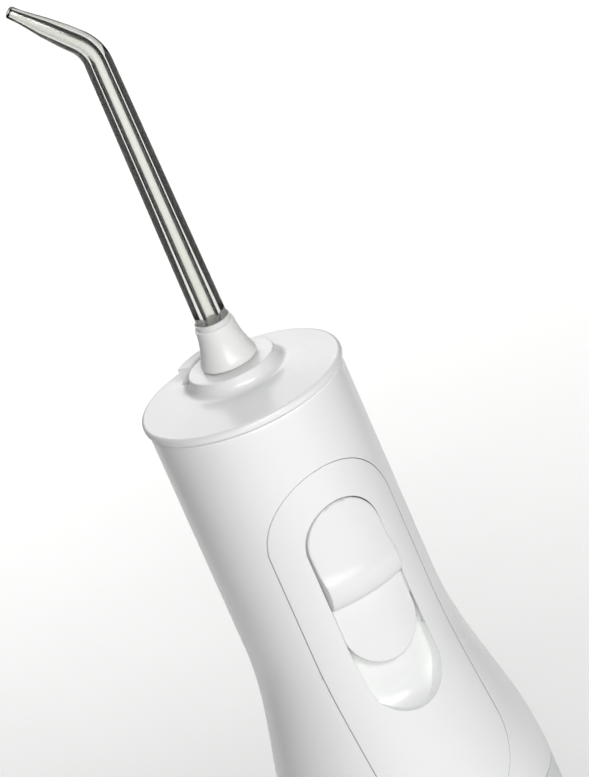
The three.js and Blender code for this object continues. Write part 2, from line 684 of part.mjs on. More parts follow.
function screw(x, y, headZ, length) {
  const slot = 0.35;
  const body = turned([
    [0, headZ], [2.0, headZ], [2.5, headZ + 0.5], [2.5, headZ + 1.4], [1.25, headZ + 1.4],
    [1.25, headZ + length - 0.8], [0.5, headZ + length], [0, headZ + length],
  ], x, y, 12);
  return cut(body, box(x - 1.5, x + 1.5, y - slot, y + slot, headZ - 1, headZ + 0.8),
    box(x - slot, x + slot, y - 1.5, y + 1.5, headZ - 1, headZ + 0.8));
}

BOSS_ANGLES.forEach((angle, i) => {
  const [x, y] = polar(BOSS_PITCH, angle);
  add(`bulkhead_screw_${i + 1}`, screw(x, y, SCREW_HEAD_Z, 11), STEEL);
});
add('hose_grommet', turned([
  [HOSE_R + 0.2, 75.6], [GROMMET_R, 75.6], [GROMMET_R, 76.9], [GROMMET_R - 0.9, 76.9],
  [GROMMET_R - 0.9, BULKHEAD_TOP + 0.3], [GROMMET_R, BULKHEAD_TOP + 0.3],
  [GROMMET_R, BULKHEAD_TOP + 1.5], [HOSE_R + 0.2, BULKHEAD_TOP + 1.5],
], INTAKE_X, INTAKE_Y, SMALL), RUBBER);

// ---------------------------------------------------------------- chassis, motor and gears

const SHELF_T = 2;
const MOTOR_SHELF_Z = GEAR_Z - 15.2;
const PUMP_SHELF_Z = WRIST_Z - 6.6;
const CHASSIS_Y0 = 1.8;
const CHASSIS_Y1 = 3.5;
const CHASSIS_HALF = 11;
const AXLE_R = 1.5;

const uprights = box(-CHASSIS_HALF, CHASSIS_HALF, CHASSIS_Y0, CHASSIS_Y1, MOTOR_SHELF_Z, 158);
const motorShelf = box(-CHASSIS_HALF, CHASSIS_HALF, -14.2, CHASSIS_Y1, MOTOR_SHELF_Z,
  MOTOR_SHELF_Z + SHELF_T);
const pumpShelf = box(-CHASSIS_HALF, CHASSIS_HALF, -11.5, CHASSIS_Y1, PUMP_SHELF_Z,
  PUMP_SHELF_Z + SHELF_T);
const chassis = cut(join(uprights, motorShelf, pumpShelf),
  disc(3.6, MOTOR_SHELF_Z - 1, MOTOR_SHELF_Z + 4, PUMP_X, PUMP_Y),
  disc(5.0, PUMP_SHELF_Z - 1, PUMP_SHELF_Z + 4, PUMP_X, PUMP_Y),
  crossBar(AXLE_R + 0.1, PUMP_X, GEAR_Z, 0, 6));
add('chassis', chassis, GREY);

const MOTOR_TOP = MOTOR_SHELF_Z - GAP;
const MOTOR_R = 9.8;
const MOTOR_L = 26;
const SHAFT_R = 1.0;
const shaftBore = SHAFT_R + 0.25;
add('motor', turned([
  [shaftBore, MOTOR_TOP - MOTOR_L + 3], [MOTOR_R - 1.2, MOTOR_TOP - MOTOR_L],
  [MOTOR_R, MOTOR_TOP - MOTOR_L + 1.2], [MOTOR_R, MOTOR_TOP - 1], [MOTOR_R - 1, MOTOR_TOP],
  [3.1, MOTOR_TOP], [3.1, MOTOR_TOP + 1.8], [shaftBore, MOTOR_TOP + 1.8],
], PUMP_X, PUMP_Y), STEEL);

// Spur pinion: straight-sided teeth, tapered from root to tip.
const PITCH_R = TOOTH_MODULE * PINION_TEETH / 2;
const PINION_TIP_R = PITCH_R + 0.4;
const PINION_ROOT_R = PITCH_R - 0.65;

function toothedOutline(teeth, rootR, tipR, x, y, firstTooth) {
  const shape = new THREE.Shape();
  const pitch = 2 * Math.PI / teeth;
  for (let i = 0; i < teeth; i += 1) {
    const mid = firstTooth + i * pitch;
    const corners = [[rootR, -0.26], [tipR, -0.12], [tipR, 0.12], [rootR, 0.26]];
    corners.forEach(([r, offset], k) => {
      const a = mid + offset * pitch;
      const [px, py] = [x + r * Math.cos(a), y + r * Math.sin(a)];
      if (i === 0 && k === 0) shape.moveTo(px, py);
      else shape.lineTo(px, py);
    });
  }
  shape.closePath();
  return shape;
}

const CROWN_PITCH_R = TOOTH_MODULE * GEAR_TEETH / 2;
const PINION_Z0 = GEAR_Z - CROWN_PITCH_R - 1.3;
const PINION_Z1 = GEAR_Z - CROWN_PITCH_R + 1.3;
const pinionTeeth = raised(toothedOutline(PINION_TEETH, PINION_ROOT_R, PINION_TIP_R, PUMP_X, PUMP_Y,
  Math.PI / 2), PINION_Z0, PINION_Z1, 1);
const shaft = disc(SHAFT_R, MOTOR_TOP - MOTOR_L + 1, PINION_Z1, PUMP_X, PUMP_Y, 16);
add('motor_pinion', join(shaft, pinionTeeth), BRASS);

// Crown gear: a disc across Y with radial teeth on its front face and the crank pin beside them.
const PITCH_PLANE_Y = PUMP_Y + PITCH_R;
const TOOTH_TIP_Y = PITCH_PLANE_Y - 0.45;
const TOOTH_ROOT_Y = PITCH_PLANE_Y + 0.7;
const CROWN_BACK_Y = TOOTH_ROOT_Y + 2.0;
const CROWN_R = CROWN_PITCH_R + 1.2;
const ROD_BACK_Y = PUMP_Y + 1.2;
const PIN_FRONT_Y = ROD_BACK_Y + GAP;

function crownTooth(i) {
  const angle = 2 * Math.PI * (i + 0.5) / GEAR_TEETH;
  const spread = 2 * Math.PI / GEAR_TEETH;
  const shape = new THREE.Shape();
  const corners = [
    [CROWN_PITCH_R - 0.9, -0.21], [CROWN_PITCH_R + 0.9, -0.21],
    [CROWN_PITCH_R + 0.9, 0.21], [CROWN_PITCH_R - 0.9, 0.21],
  ];
  corners.forEach(([r, offset], k) => {
    const a = -Math.PI / 2 + angle + offset * spread;
    const [px, pz] = [PUMP_X + r * Math.cos(a), GEAR_Z + r * Math.sin(a)];
    if (k === 0) shape.moveTo(px, pz);
    else shape.lineTo(px, pz);
  });
  shape.closePath();
  return through(shape, [TOOTH_TIP_Y, TOOTH_ROOT_Y + 0.4], 1);
}

let crown = crossBar(CROWN_R, PUMP_X, GEAR_Z, TOOTH_ROOT_Y, CROWN_BACK_Y - 0.2, 40);
for (let i = 0; i < GEAR_TEETH; i += 1) crown = join(crown, crownTooth(i));
crown = join(crown, crossBar(1.2, PUMP_X, GEAR_Z + CRANK_R, PIN_FRONT_Y, TOOTH_ROOT_Y + 0.4, 16));
crown = cut(crown, crossBar(AXLE_R + 0.1, PUMP_X, GEAR_Z, -6, 6));
add('crown_gear', crown, WHITE);
add('gear_axle', join(crossBar(AXLE_R, PUMP_X, GEAR_Z, TOOTH_ROOT_Y - 0.9, CHASSIS_Y1 + 0.6),
  crossBar(AXLE_R + 0.6, PUMP_X, GEAR_Z, TOOTH_ROOT_Y - 1.5, TOOTH_ROOT_Y - 0.3)), STEEL);

// ---------------------------------------------------------------- pump

const PISTON_R = 4.2;
const CYLINDER_R = PISTON_R + GAP;
const CYLINDER_OUT = 6.0;
const CYLINDER_Z0 = PUMP_SHELF_Z + SHELF_T + GAP;
const PISTON_TOP = WRIST_Z + 8.5;
const CYLINDER_Z1 = PISTON_TOP + 1.5;
const HEAD_Z0 = CYLINDER_Z1 + GAP;
const HEAD_Z1 = HEAD_Z0 + 3.5;
const ROD_HALF = 1.2;
const EYE_R = 2.4;

add('pump_cylinder', ring(CYLINDER_R, CYLINDER_OUT, CYLINDER_Z0, CYLINDER_Z1, PUMP_X, PUMP_Y), WHITE);

const rodBar = box(PUMP_X - 1.1, PUMP_X + 1.1, PUMP_Y - ROD_HALF, PUMP_Y + ROD_HALF,
  WRIST_Z - ROD_L, WRIST_Z);
const bigEye = crossBar(EYE_R, PUMP_X, WRIST_Z - ROD_L, PUMP_Y - ROD_HALF, PUMP_Y + ROD_HALF);
const smallEye = crossBar(2.0, PUMP_X, WRIST_Z, PUMP_Y - ROD_HALF, PUMP_Y + ROD_HALF);
add('connecting_rod', cut(join(rodBar, bigEye, smallEye),
  crossBar(1.3, PUMP_X, WRIST_Z - ROD_L, -9, 0), crossBar(1.05, PUMP_X, WRIST_Z, -9, 0)), GREY);

const SEAL_GROOVE_Z = PISTON_TOP - 2.2;
const pistonBody = turned([
  [0, WRIST_Z - 2.2], [PISTON_R, WRIST_Z - 2.2], [PISTON_R, SEAL_GROOVE_Z - 0.8],
  [PISTON_R - 1, SEAL_GROOVE_Z - 0.8], [PISTON_R - 1, SEAL_GROOVE_Z + 0.8],
  [PISTON_R, SEAL_GROOVE_Z + 0.8], [PISTON_R, PISTON_TOP], [0, PISTON_TOP],
], PUMP_X, PUMP_Y);
const rodSlot = box(-6, 6, PUMP_Y - ROD_HALF - GAP, PUMP_Y + ROD_HALF + GAP, WRIST_Z - 3, WRIST_Z + 2.6);
add('piston', cut(pistonBody, rodSlot, crossBar(0.95, PUMP_X, WRIST_Z, -12, 4)), WHITE);
add('wrist_pin', crossBar(0.9, PUMP_X, WRIST_Z, PUMP_Y - 3.6, PUMP_Y + 3.6, 16), STEEL);
add('piston_seal', turned(torusProfile(3.75, 0.45, SEAL_GROOVE_Z), PUMP_X, PUMP_Y, 24), RUBBER);

// Head with an upward outlet chamber, a ball seat in it, and a side inlet spigot.
const BALL_R = 1.4;
const SEAT_Z = HEAD_Z0 + 1.4;
const BALL_Z = SEAT_Z + 1.6;
const OUTLET_TOP = HEAD_Z1 + 5;
const INLET_Z = HEAD_Z0 + 1.75;
const headBody = turned([
  [0.9, HEAD_Z0], [CYLINDER_OUT, HEAD_Z0], [CYLINDER_OUT, HEAD_Z1], [3.0, HEAD_Z1],
  [3.0, OUTLET_TOP], [2.0, OUTLET_TOP], [2.0, SEAT_Z + 0.7], [0.9, SEAT_Z],
], PUMP_X, PUMP_Y);
const inletSpigot = sideBar(1.3, PUMP_Y, INLET_Z, PUMP_X - 8.4, PUMP_X - 4.5);
add('pump_head', cut(join(headBody, inletSpigot),
  sideBar(0.6, PUMP_Y, INLET_Z, -10, PUMP_X - 3.2),
  disc(0.6, HEAD_Z0 - 1, INLET_Z, PUMP_X - 3.5, PUMP_Y, SMALL)), WHITE);
const ball = new THREE.SphereGeometry(BALL_R, 12, 8);
ball.translate(PUMP_X, PUMP_Y, BALL_Z);
add('outlet_valve_ball', toSolid(ball), STEEL);
add('outlet_valve_spring', spring(PUMP_X, PUMP_Y, BALL_Z + 1.65, OUTLET_TOP - 0.4, 1.35, 0.2, 3), STEEL);

const OUTLET_HOSE_R = 2.0;
const outletCurve = new THREE.CubicBezierCurve3(
  new THREE.Vector3(PUMP_X, PUMP_Y, OUTLET_TOP + GAP),
  new THREE.Vector3(PUMP_X, PUMP_Y, OUTLET_TOP + 4.2),
  new THREE.Vector3(TIP_X, TIP_Y, 167.5),
  new THREE.Vector3(TIP_X, TIP_Y, 171.7),
);
add('outlet_hose', alongCurve(outletCurve, circle(OUTLET_HOSE_R, 1.2), 8, 4), CLEAR);

// Suction hose: level from the pump's inlet, one bend, then straight down into the tank.
const FILTER_Z = 7;
const HOSE_FOOT = FILTER_Z + 5;
const HOSE_BEND_R = 5;
const hoseStart = PUMP_X - 8.7;
const hoseLevel = hoseStart - (INTAKE_X + HOSE_BEND_R);
const hoseArc = HOSE_BEND_R * Math.PI / 2;
const hoseDrop = INLET_Z - HOSE_BEND_R - HOSE_FOOT;

class IntakePath extends THREE.Curve {
  getUtoTmapping(u) {
    return u;
  }

  getPoint(t, target = new THREE.Vector3()) {
    const s = stepped([[0, 0], [0.1, hoseLevel], [0.8, hoseLevel + hoseArc],
      [1, hoseLevel + hoseArc + hoseDrop]], t);
    const a = Math.min(Math.max((s - hoseLevel) / HOSE_BEND_R, 0), Math.PI / 2);
    const x = hoseStart - Math.min(s, hoseLevel) - HOSE_BEND_R * Math.sin(a);
    const z = INLET_Z - HOSE_BEND_R * (1 - Math.cos(a)) - Math.max(s - hoseLevel - hoseArc, 0);
    return target.set(x, INTAKE_Y, z);
  }
}

add('intake_hose', alongCurve(new IntakePath(), circle(HOSE_R, 1.4), 10, 4), CLEAR);

let filter = turned([
  [HOSE_R + 0.25, HOSE_FOOT - 1.5], [3.6, HOSE_FOOT - 1.5], [3.6, FILTER_Z + 0.6],
  [3.2, FILTER_Z], [0, FILTER_Z], [0, FILTER_Z + 1], [2.4, FILTER_Z + 1],
  [2.4, HOSE_FOOT - 2.4], [HOSE_R + 0.25, HOSE_FOOT - 2.4],
].reverse(), INTAKE_X, INTAKE_Y, 16);
for (const [halfX, halfY] of [[4.5, 0.35], [0.35, 4.5]]) {
  filter = cut(filter, box(INTAKE_X - halfX, INTAKE_X + halfX, INTAKE_Y - halfY, INTAKE_Y + halfY,
    FILTER_Z + 1.2, FILTER_Z + 2.6));
}
add('intake_filter', filter, GREY);

// ---------------------------------------------------------------- battery and electronics

const CELL_R = 7;
const CELL_Z0 = 83;
const CELL_L = 49;
const CELL_X = 8.2;
const CELL_Y = 10.9;
[-1, 1].forEach((side, i) => {
  add(`battery_cell_${i + 1}`, turned([
    [0, CELL_Z0], [CELL_R - 0.4, CELL_Z0], [CELL_R, CELL_Z0 + 0.5], [CELL_R, CELL_Z0 + CELL_L - 1.2],
    [CELL_R - 0.5, CELL_Z0 + CELL_L - 0.8], [2.6, CELL_Z0 + CELL_L - 0.8],
    [2.6, CELL_Z0 + CELL_L], [0, CELL_Z0 + CELL_L],
  ], side * CELL_X, CELL_Y, 24), CELL);
});

const BOARD_Y0 = -16.6;
const BOARD_Y1 = -15.1;
add('circuit_board', box(-8, 8, BOARD_Y0, BOARD_Y1, 96, 164), BOARD);
const reed = new THREE.CapsuleGeometry(0.75, 11, 4, 12);
reed.rotateX(Math.PI / 2);
reed.translate(0, (BOARD_Y0 - TUB_BACK_R) / 2 + 0.05, 154);
add('reed_switch', toSolid(reed), CLEAR);
const MODULE_DEPTH = 4.2;
add('charge_module', join(box(2.4, 7.4, BOARD_Y1 + GAP, BOARD_Y1 + 2.6, 150, 160),
  box(3.0, 6.8, BOARD_Y1 + 2.0, BOARD_Y1 + MODULE_DEPTH, 151, 159)), BLACK);

export default group;
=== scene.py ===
# %% [markdown]
# # A cordless water flosser
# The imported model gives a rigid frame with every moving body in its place. This lesson dresses that
# frame: each moulding that can be seen is modelled again with smooth walls and rounded edges, and each
# piece, seen or hidden, gets the finish of the plastic, rubber or metal that it is made of.

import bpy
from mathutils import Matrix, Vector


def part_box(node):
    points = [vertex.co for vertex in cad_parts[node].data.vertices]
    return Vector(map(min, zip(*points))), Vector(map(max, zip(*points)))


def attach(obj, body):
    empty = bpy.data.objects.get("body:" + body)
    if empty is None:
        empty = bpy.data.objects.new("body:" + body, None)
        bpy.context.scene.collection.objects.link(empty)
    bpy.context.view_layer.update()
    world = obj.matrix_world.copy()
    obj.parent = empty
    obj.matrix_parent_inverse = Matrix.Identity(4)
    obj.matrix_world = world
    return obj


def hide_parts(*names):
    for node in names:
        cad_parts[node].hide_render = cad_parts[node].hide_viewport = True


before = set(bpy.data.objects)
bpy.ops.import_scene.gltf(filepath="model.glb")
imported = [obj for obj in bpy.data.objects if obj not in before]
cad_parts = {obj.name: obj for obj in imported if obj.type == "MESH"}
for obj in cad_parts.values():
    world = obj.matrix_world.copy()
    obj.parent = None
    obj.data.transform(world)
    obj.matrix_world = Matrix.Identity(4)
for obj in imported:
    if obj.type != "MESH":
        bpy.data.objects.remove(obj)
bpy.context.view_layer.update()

# %% [markdown]
# ## Working in millimetres
# A flosser is drawn in millimetres and Blender works in metres, so one small function turns one into
# the other. The two that follow it keep selections tidy, because operators act on all that is selected.

# %% Units and selections
import math

import bpy
from mathutils import Matrix, Vector

MM = 0.001


def mm(*values):
    """One length in millimetres as metres, or three of them as a vector."""
    return values[0] * MM if len(values) == 1 else Vector(values) * MM


def use(piece):
    """Object mode, with this piece alone selected and active."""
    if bpy.context.object and bpy.context.object.mode != "OBJECT":
        bpy.ops.object.mode_set(mode="OBJECT")
    bpy.ops.object.select_all(action="DESELECT")
    if piece:
        bpy.context.view_layer.objects.active = piece
        piece.select_set(True)


def edit_all(piece):
    """Edit mode, with every vertex of the piece selected."""
    use(piece)
    bpy.ops.object.mode_set(mode="EDIT")
    bpy.ops.mesh.select_mode(type="VERT")
    bpy.ops.mesh.select_all(action="SELECT")


def edit_where(piece, test):
    """Edit mode, with only the vertices selected whose place, in millimetres, passes the test."""
    edit_all(piece)
    bpy.ops.mesh.select_all(action="DESELECT")
    bpy.ops.object.mode_set(mode="OBJECT")
    for vertex in piece.data.vertices:
        vertex.select = test(vertex.co / MM)
    bpy.ops.object.mode_set(mode="EDIT")


def new_piece(name):
    """Names the primitive that was just added, and puts its place into its mesh."""
    piece = bpy.context.object
    piece.name = name
    bpy.ops.object.transform_apply(location=True, rotation=True, scale=True)
    return piece


use(None)
print("nothing selected:", len(bpy.context.selected_objects))

# %% [markdown]
# ## Round mouldings
# Most of the flosser is round. A circle pulled up ring by ring, with each new ring scaled to its own
# radius, is the quickest way to such a shape by hand, and the rings stay easy to read as
# (radius, height) pairs. An outline that returns to its first pair closes on itself, as a wall does.

# %% Turned shapes
ROUND = 160   # sides of the large shells
SMALL = 64    # sides of small turned pieces


def turned(name, rings, x=0.0, y=0.0, sides=ROUND):
    """Pulls a circle through (radius, height) rings and closes what is left open."""
    use(None)
    radius, height = rings[0]
    bpy.ops.mesh.primitive_circle_add(vertices=sides, radius=mm(radius), location=mm(x, y, height))
    piece = new_piece(name)
    edit_all(piece)
    for next_radius, next_height in rings[1:]:
        rise = mm(0, 0, next_height - height)
        bpy.ops.mesh.extrude_region_move(TRANSFORM_OT_translate={"value": rise})
        scale = next_radius / radius
        bpy.ops.transform.resize(value=(scale, scale, 1), center_override=mm(x, y, next_height))
        radius, height = next_radius, next_height
    bpy.ops.mesh.select_all(action="SELECT")
    bpy.ops.mesh.remove_doubles(threshold=mm(0.001))
    bpy.ops.mesh.fill_holes(sides=0)
    bpy.ops.mesh.select_all(action="SELECT")
    bpy.ops.mesh.normals_make_consistent(inside=False)
    use(piece)
    return piece


def arc(radius, height, size, start, end, steps=6):
    """(radius, height) points on a quarter round, from one angle to another in degrees."""
    angles = [math.radians(start + (end - start) * i / steps) for i in range(steps + 1)]
    return [(radius + size * math.cos(a), height + size * math.sin(a)) for a in angles]


print("quarter round of 1 mm:", [tuple(round(v, 2) for v in p) for p in arc(5, 0, 1, 0, 90, 3)])

# %% [markdown]
# ## Slots, doors and rounded edges
# The inlay, its slot and the doors all have the outline of a running track. It starts as a filled
# circle: half of it is moved away to leave straight sides, and the face is drawn out into a bar.
# Bars and turned shapes then cut one another with Boolean modifiers, as a mould's two halves would.

# %% Track-shaped bars and cuts
def track_bar(name, width, height, z, y0, y1, corners=96):
    """A bar along Y with the outline of a running track, centred at height z."""
    use(None)
    short, stretch = min(width, height), abs(height - width)
    tall = height > width
    x_start, z_start = (0, z - stretch / 2) if tall else (-stretch / 2, z)
    bpy.ops.mesh.primitive_circle_add(vertices=corners, radius=mm(short / 2), fill_type="NGON",
                                      location=mm(x_start, y0, z_start),
                                      rotation=(math.pi / 2, math.pi / corners, 0))
    piece = new_piece(name)
    if tall:
        edit_where(piece, lambda p: p.z > z_start)
        bpy.ops.transform.translate(value=mm(0, 0, stretch))
    else:
        edit_where(piece, lambda p: p.x > x_start)
        bpy.ops.transform.translate(value=mm(stretch, 0, 0))
    bpy.ops.mesh.select_all(action="SELECT")
    bpy.ops.mesh.extrude_region_move(TRANSFORM_OT_translate={"value": mm(0, y1 - y0, 0)})
    bpy.ops.mesh.select_all(action="SELECT")
    bpy.ops.mesh.normals_make_consistent(inside=False)
    use(piece)
    return piece


def block(name, x0, x1, y0, y1, z0, z1):
    """A plain block between two corners, which only ever cuts or joins another shape."""
    use(None)
    middle = mm((x0 + x1) / 2, (y0 + y1) / 2, (z0 + z1) / 2)
    bpy.ops.mesh.primitive_cube_add(size=1, location=middle, scale=mm(x1 - x0, y1 - y0, z1 - z0))
    return new_piece(name)


def rod(name, radius, start, end, sides=32):
    """A plain round rod along X, Y or Z, which only ever cuts or joins another shape."""
    use(None)
    along = Vector(end) - Vector(start)
    turn = along.to_track_quat("Z", "Y").to_euler()
    middle = (Vector(start) + Vector(end)) / 2
    bpy.ops.mesh.primitive_cylinder_add(vertices=sides, radius=mm(radius), depth=mm(along.length),
                                        location=middle * MM, rotation=turn)
    return new_piece(name)


def combine(piece, tool, how):
    """Applies a Boolean modifier with the tool, and throws the tool away."""
    modifier = piece.modifiers.new(how.lower(), "BOOLEAN")
    modifier.operation = how
    modifier.solver = "EXACT"
    modifier.object = tool
    use(piece)
    bpy.ops.object.modifier_apply(modifier=modifier.name)
    bpy.data.objects.remove(tool)
    return piece


def copy_of(piece, name):
    """A copy with a mesh of its own."""
    made = piece.copy()
    made.data = piece.data.copy()
    made.name = name
    bpy.context.scene.collection.objects.link(made)
    return made


def turned_copy(piece, x, y, angle):
    """A copy moved in the plan to x, y and turned about its own upright axis."""
    made = copy_of(piece, piece.name + "_copy")
    made.matrix_world = Matrix.Translation(mm(x, y, 0)) @ Matrix.Rotation(math.radians(angle), 4, "Z")
    bpy.context.view_layer.update()
    return made


def soften(piece, width, segments=3, angle=32):
    """Rounds every edge that is sharper than the angle in degrees."""
    modifier = piece.modifiers.new("rounding", "BEVEL")
    modifier.width = mm(width)
    modifier.segments = segments
    modifier.limit_method = "ANGLE"
    modifier.angle_limit = math.radians(angle)
    modifier.use_clamp_overlap = False
    modifier.loop_slide = False
    use(piece)
    bpy.ops.object.modifier_apply(modifier=modifier.name)
    return piece


# %% [markdown]
# ## Handing a piece over
# When a shape is done its stray doubles are merged, its shading is made smooth apart from real corners,
# and it is tied to the body it moves with. It stands for the coarse node of the frame, which hides.

# %% Finish a piece
def settle(piece, body, nodes, look, corner=40):
    """Merges, shades and paints a piece, and rides it on its body in place of the frame's nodes."""
    edit_all(piece)
    bpy.ops.mesh.remove_doubles(threshold=mm(0.004))
    use(piece)
    bpy.ops.object.shade_smooth_by_angle(angle=math.radians(corner))
    weighted = piece.modifiers.new("even shading", "WEIGHTED_NORMAL")
    weighted.keep_sharp = True
    bpy.ops.object.modifier_apply(modifier=weighted.name)
    piece.data.materials.clear()
    piece.data.materials.append(look)
    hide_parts(*nodes)
    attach(piece, body)
    size = [round(v / MM, 1) for v in piece.dimensions]
    print(f"{piece.name}: {len(piece.data.polygons)} faces, {size} mm, on {body}")
    return piece


# %% [markdown]
# ## Colour and nodes
# Colours are written as the hex values a painter picks, which are sRGB, while shaders work on linear
# light. One function converts them. Another adds a shader node, sets it up and wires it in one call.

# %% Colour and node helpers
def colour(hex_value):
    """An sRGB hex value such as F2F3F2 as linear red, green, blue and alpha."""
    channels = [int(hex_value[i:i + 2], 16) / 255 for i in (0, 2, 4)]
    return [c / 12.92 if c <= 0.04045 else ((c + 0.055) / 1.055) ** 2.4 for c in channels] + [1.0]


def per_mm(size):
    """The scale of a pattern on Object coordinates whose features are this many millimetres wide."""
    return 1 / mm(size)


def add_node(tree, kind, inputs=None, **settings):
    """Adds a node, with its settings, and with each input given a value or another node's socket."""
    made = tree.nodes.new(kind)
    for name, value in settings.items():
        setattr(made, name, value)
    for name, value in (inputs or {}).items():
        if isinstance(value, bpy.types.NodeSocket):
            tree.links.new(value, made.inputs[name])
        else:
            made.inputs[name].default_value = value
    return made


def new_look(name, **sockets):
    """A material with its Principled shader and the Object coordinates that its patterns read."""
    material = bpy.data.materials.new(name)
    material.use_nodes = True
    tree = material.node_tree
    shader = tree.nodes["Principled BSDF"]
    for socket, value in sockets.items():
        shader.inputs[socket.replace("_", " ")].default_value = value
    place = add_node(tree, "ShaderNodeTexCoord").outputs["Object"]
    return material, tree, shader, place


def vary(tree, shader, place, size, roughness, colours):
    """Slow drifts over `size` mm: roughness between two values and colour between two hex values."""
    drift = add_node(tree, "ShaderNodeTexNoise",
                     {"Vector": place, "Scale": per_mm(size), "Detail": 3.0, "Roughness": 0.5})
    gloss = add_node(tree, "ShaderNodeMapRange", {
        "Value": drift.outputs["Fac"], "From Min": 0.3, "From Max": 0.7,
        "To Min": roughness[0], "To Max": roughness[1]})
    tree.links.new(gloss.outputs["Result"], shader.inputs["Roughness"])
    tint = add_node(tree, "ShaderNodeMix", {"Factor": drift.outputs["Fac"]}, data_type="RGBA")
    tint.inputs["A"].default_value = colour(colours[0])
    tint.inputs["B"].default_value = colour(colours[1])
    tree.links.new(tint.outputs["Result"], shader.inputs["Base Color"])
    return drift.outputs["Fac"]


def relief(tree, shader, height, depth):
    """Feeds a pattern to the shader's normal as a relief `depth` mm deep."""
    bump = add_node(tree, "ShaderNodeBump", {"Height": height, "Distance": mm(depth), "Strength": 1.0})
    tree.links.new(bump.outputs["Normal"], shader.inputs["Normal"])


print("mid grey in linear light:", round(colour("808080")[0], 3))

# %% [markdown]
# ## White mouldings
# The casing is ABS, injected hot against a polished steel mould. It comes out glossy, with a faint
# orange-peel ripple about a millimetre wide where the skin froze. The slider and the release button are
# moulded against fine spark-eroded steel, so that a wet thumb grips them: the same white, less gloss.

# %% Glossy white ABS
def glossy_white_abs():
    material, tree, shader, place = new_look(
        "Glossy_white_ABS", IOR=1.54, Specular_IOR_Level=0.5, Coat_Weight=0.08, Coat_Roughness=0.2)
    vary(tree, shader, place, 26, (0.26, 0.33), ("F1F2F1", "F6F7F6"))
    ripple = add_node(tree, "ShaderNodeTexNoise",
                      {"Vector": place, "Scale": per_mm(1.4), "Detail": 2.0, "Roughness": 0.4})
    relief(tree, shader, ripple.outputs["Fac"], 0.003)
    return material


# %% Satin white ABS
def satin_white_abs():
    material, tree, shader, place = new_look("Satin_white_ABS", IOR=1.54)
    vary(tree, shader, place, 14, (0.34, 0.42), ("F0F1F0", "F5F6F5"))
    spark = add_node(tree, "ShaderNodeTexNoise",
                     {"Vector": place, "Scale": per_mm(0.35), "Detail": 3.0, "Roughness": 0.6})
    relief(tree, shader, spark.outputs["Fac"], 0.006)
    return material


# %% [markdown]
# The tip's hub and the turning parts are acetal, a waxy, very white plastic with a soft wide highlight.
# Light travels a millimetre or so inside it, which keeps the thin rim of the hub bright.
# The tank is polypropylene, which is milky: light enters it a little and it never looks quite solid.

# %% White acetal
def white_acetal():
    material, tree, shader, place = new_look(
        "White_acetal", IOR=1.48, Coat_Weight=0.1, Coat_Roughness=0.2, Subsurface_Weight=0.5,
        Subsurface_Radius=(1.0, 1.0, 1.0), Subsurface_Scale=mm(1.5))
    vary(tree, shader, place, 9, (0.24, 0.34), ("F2F3F1", "F8F8F6"))
    flow = add_node(tree, "ShaderNodeTexNoise",
                    {"Vector": place, "Scale": per_mm(0.9), "Detail": 2.0, "Distortion": 0.4})
    relief(tree, shader, flow.outputs["Fac"], 0.004)
    return material


# %% Milky polypropylene
def milky_polypropylene():
    material, tree, shader, place = new_look("Milky_polypropylene", IOR=1.49,
                                             Transmission_Weight=0.12)
    vary(tree, shader, place, 30, (0.3, 0.4), ("EDF1F2", "F4F6F7"))
    flow = add_node(tree, "ShaderNodeTexNoise",
                    {"Vector": place, "Scale": per_mm(1.8), "Detail": 2.0, "Distortion": 0.8})
    relief(tree, shader, flow.outputs["Fac"], 0.01)
    return material


# %% [markdown]
# The jet tip is clear polycarbonate with a slightly smoky cast. It is a thick tube with a fine bore, so
# its wall bends light strongly: the rim of the tube and the rim of the bore show as dark lines.

# %% Clear polycarbonate
def clear_polycarbonate():
    material, tree, shader, place = new_look("Clear_polycarbonate", IOR=1.585, Transmission_Weight=1.0)
    vary(tree, shader, place, 12, (0.005, 0.025), ("ECEDE8", "F1F2EE"))
    draw = add_node(tree, "ShaderNodeMapping", {"Vector": place, "Scale": (1.0, 1.0, 0.08)})
    lines = add_node(tree, "ShaderNodeTexNoise",
                     {"Vector": draw.outputs["Vector"], "Scale": per_mm(1.6), "Detail": 1.0})
    relief(tree, shader, lines.outputs["Fac"], 0.01)
    return material


# %% Clear silicone hose
def clear_silicone():
    material, tree, shader, place = new_look("Clear_silicone", IOR=1.41, Transmission_Weight=0.8)
    vary(tree, shader, place, 8, (0.18, 0.3), ("E4E7E5", "EEF0EE"))
    skin = add_node(tree, "ShaderNodeTexNoise",
                    {"Vector": place, "Scale": per_mm(0.7), "Detail": 2.0})
    relief(tree, shader, skin.outputs["Fac"], 0.01)
    return material


# %% [markdown]
# ## Rubbers
# The foot, the door's gasket and the rings are nitrile rubber: matt, dark, with a dusty bloom and a
# fine grain. The flap over the charging port is a soft white elastomer.

# %% Nitrile rubber
def nitrile_rubber():
    material, tree, shader, place = new_look("Nitrile_rubber", IOR=1.52, Sheen_Weight=0.15,
                                             Sheen_Roughness=0.5)
    vary(tree, shader, place, 5, (0.62, 0.8), ("2C2E30", "3D4042"))
    grain = add_node(tree, "ShaderNodeTexNoise",
                     {"Vector": place, "Scale": per_mm(0.3), "Detail": 4.0, "Roughness": 0.65})
    relief(tree, shader, grain.outputs["Fac"], 0.02)
    return material


# %% Soft white elastomer
def soft_white_elastomer():
    material, tree, shader, place = new_look("Soft_white_elastomer", IOR=1.5, Sheen_Weight=0.1,
                                             Sheen_Roughness=0.5)
    vary(tree, shader, place, 7, (0.5, 0.62), ("E3E5E4", "EBEDEC"))
    grain = add_node(tree, "ShaderNodeTexNoise",
                     {"Vector": place, "Scale": per_mm(0.4), "Detail": 3.0, "Roughness": 0.6})
    relief(tree, shader, grain.outputs["Fac"], 0.012)
    return material


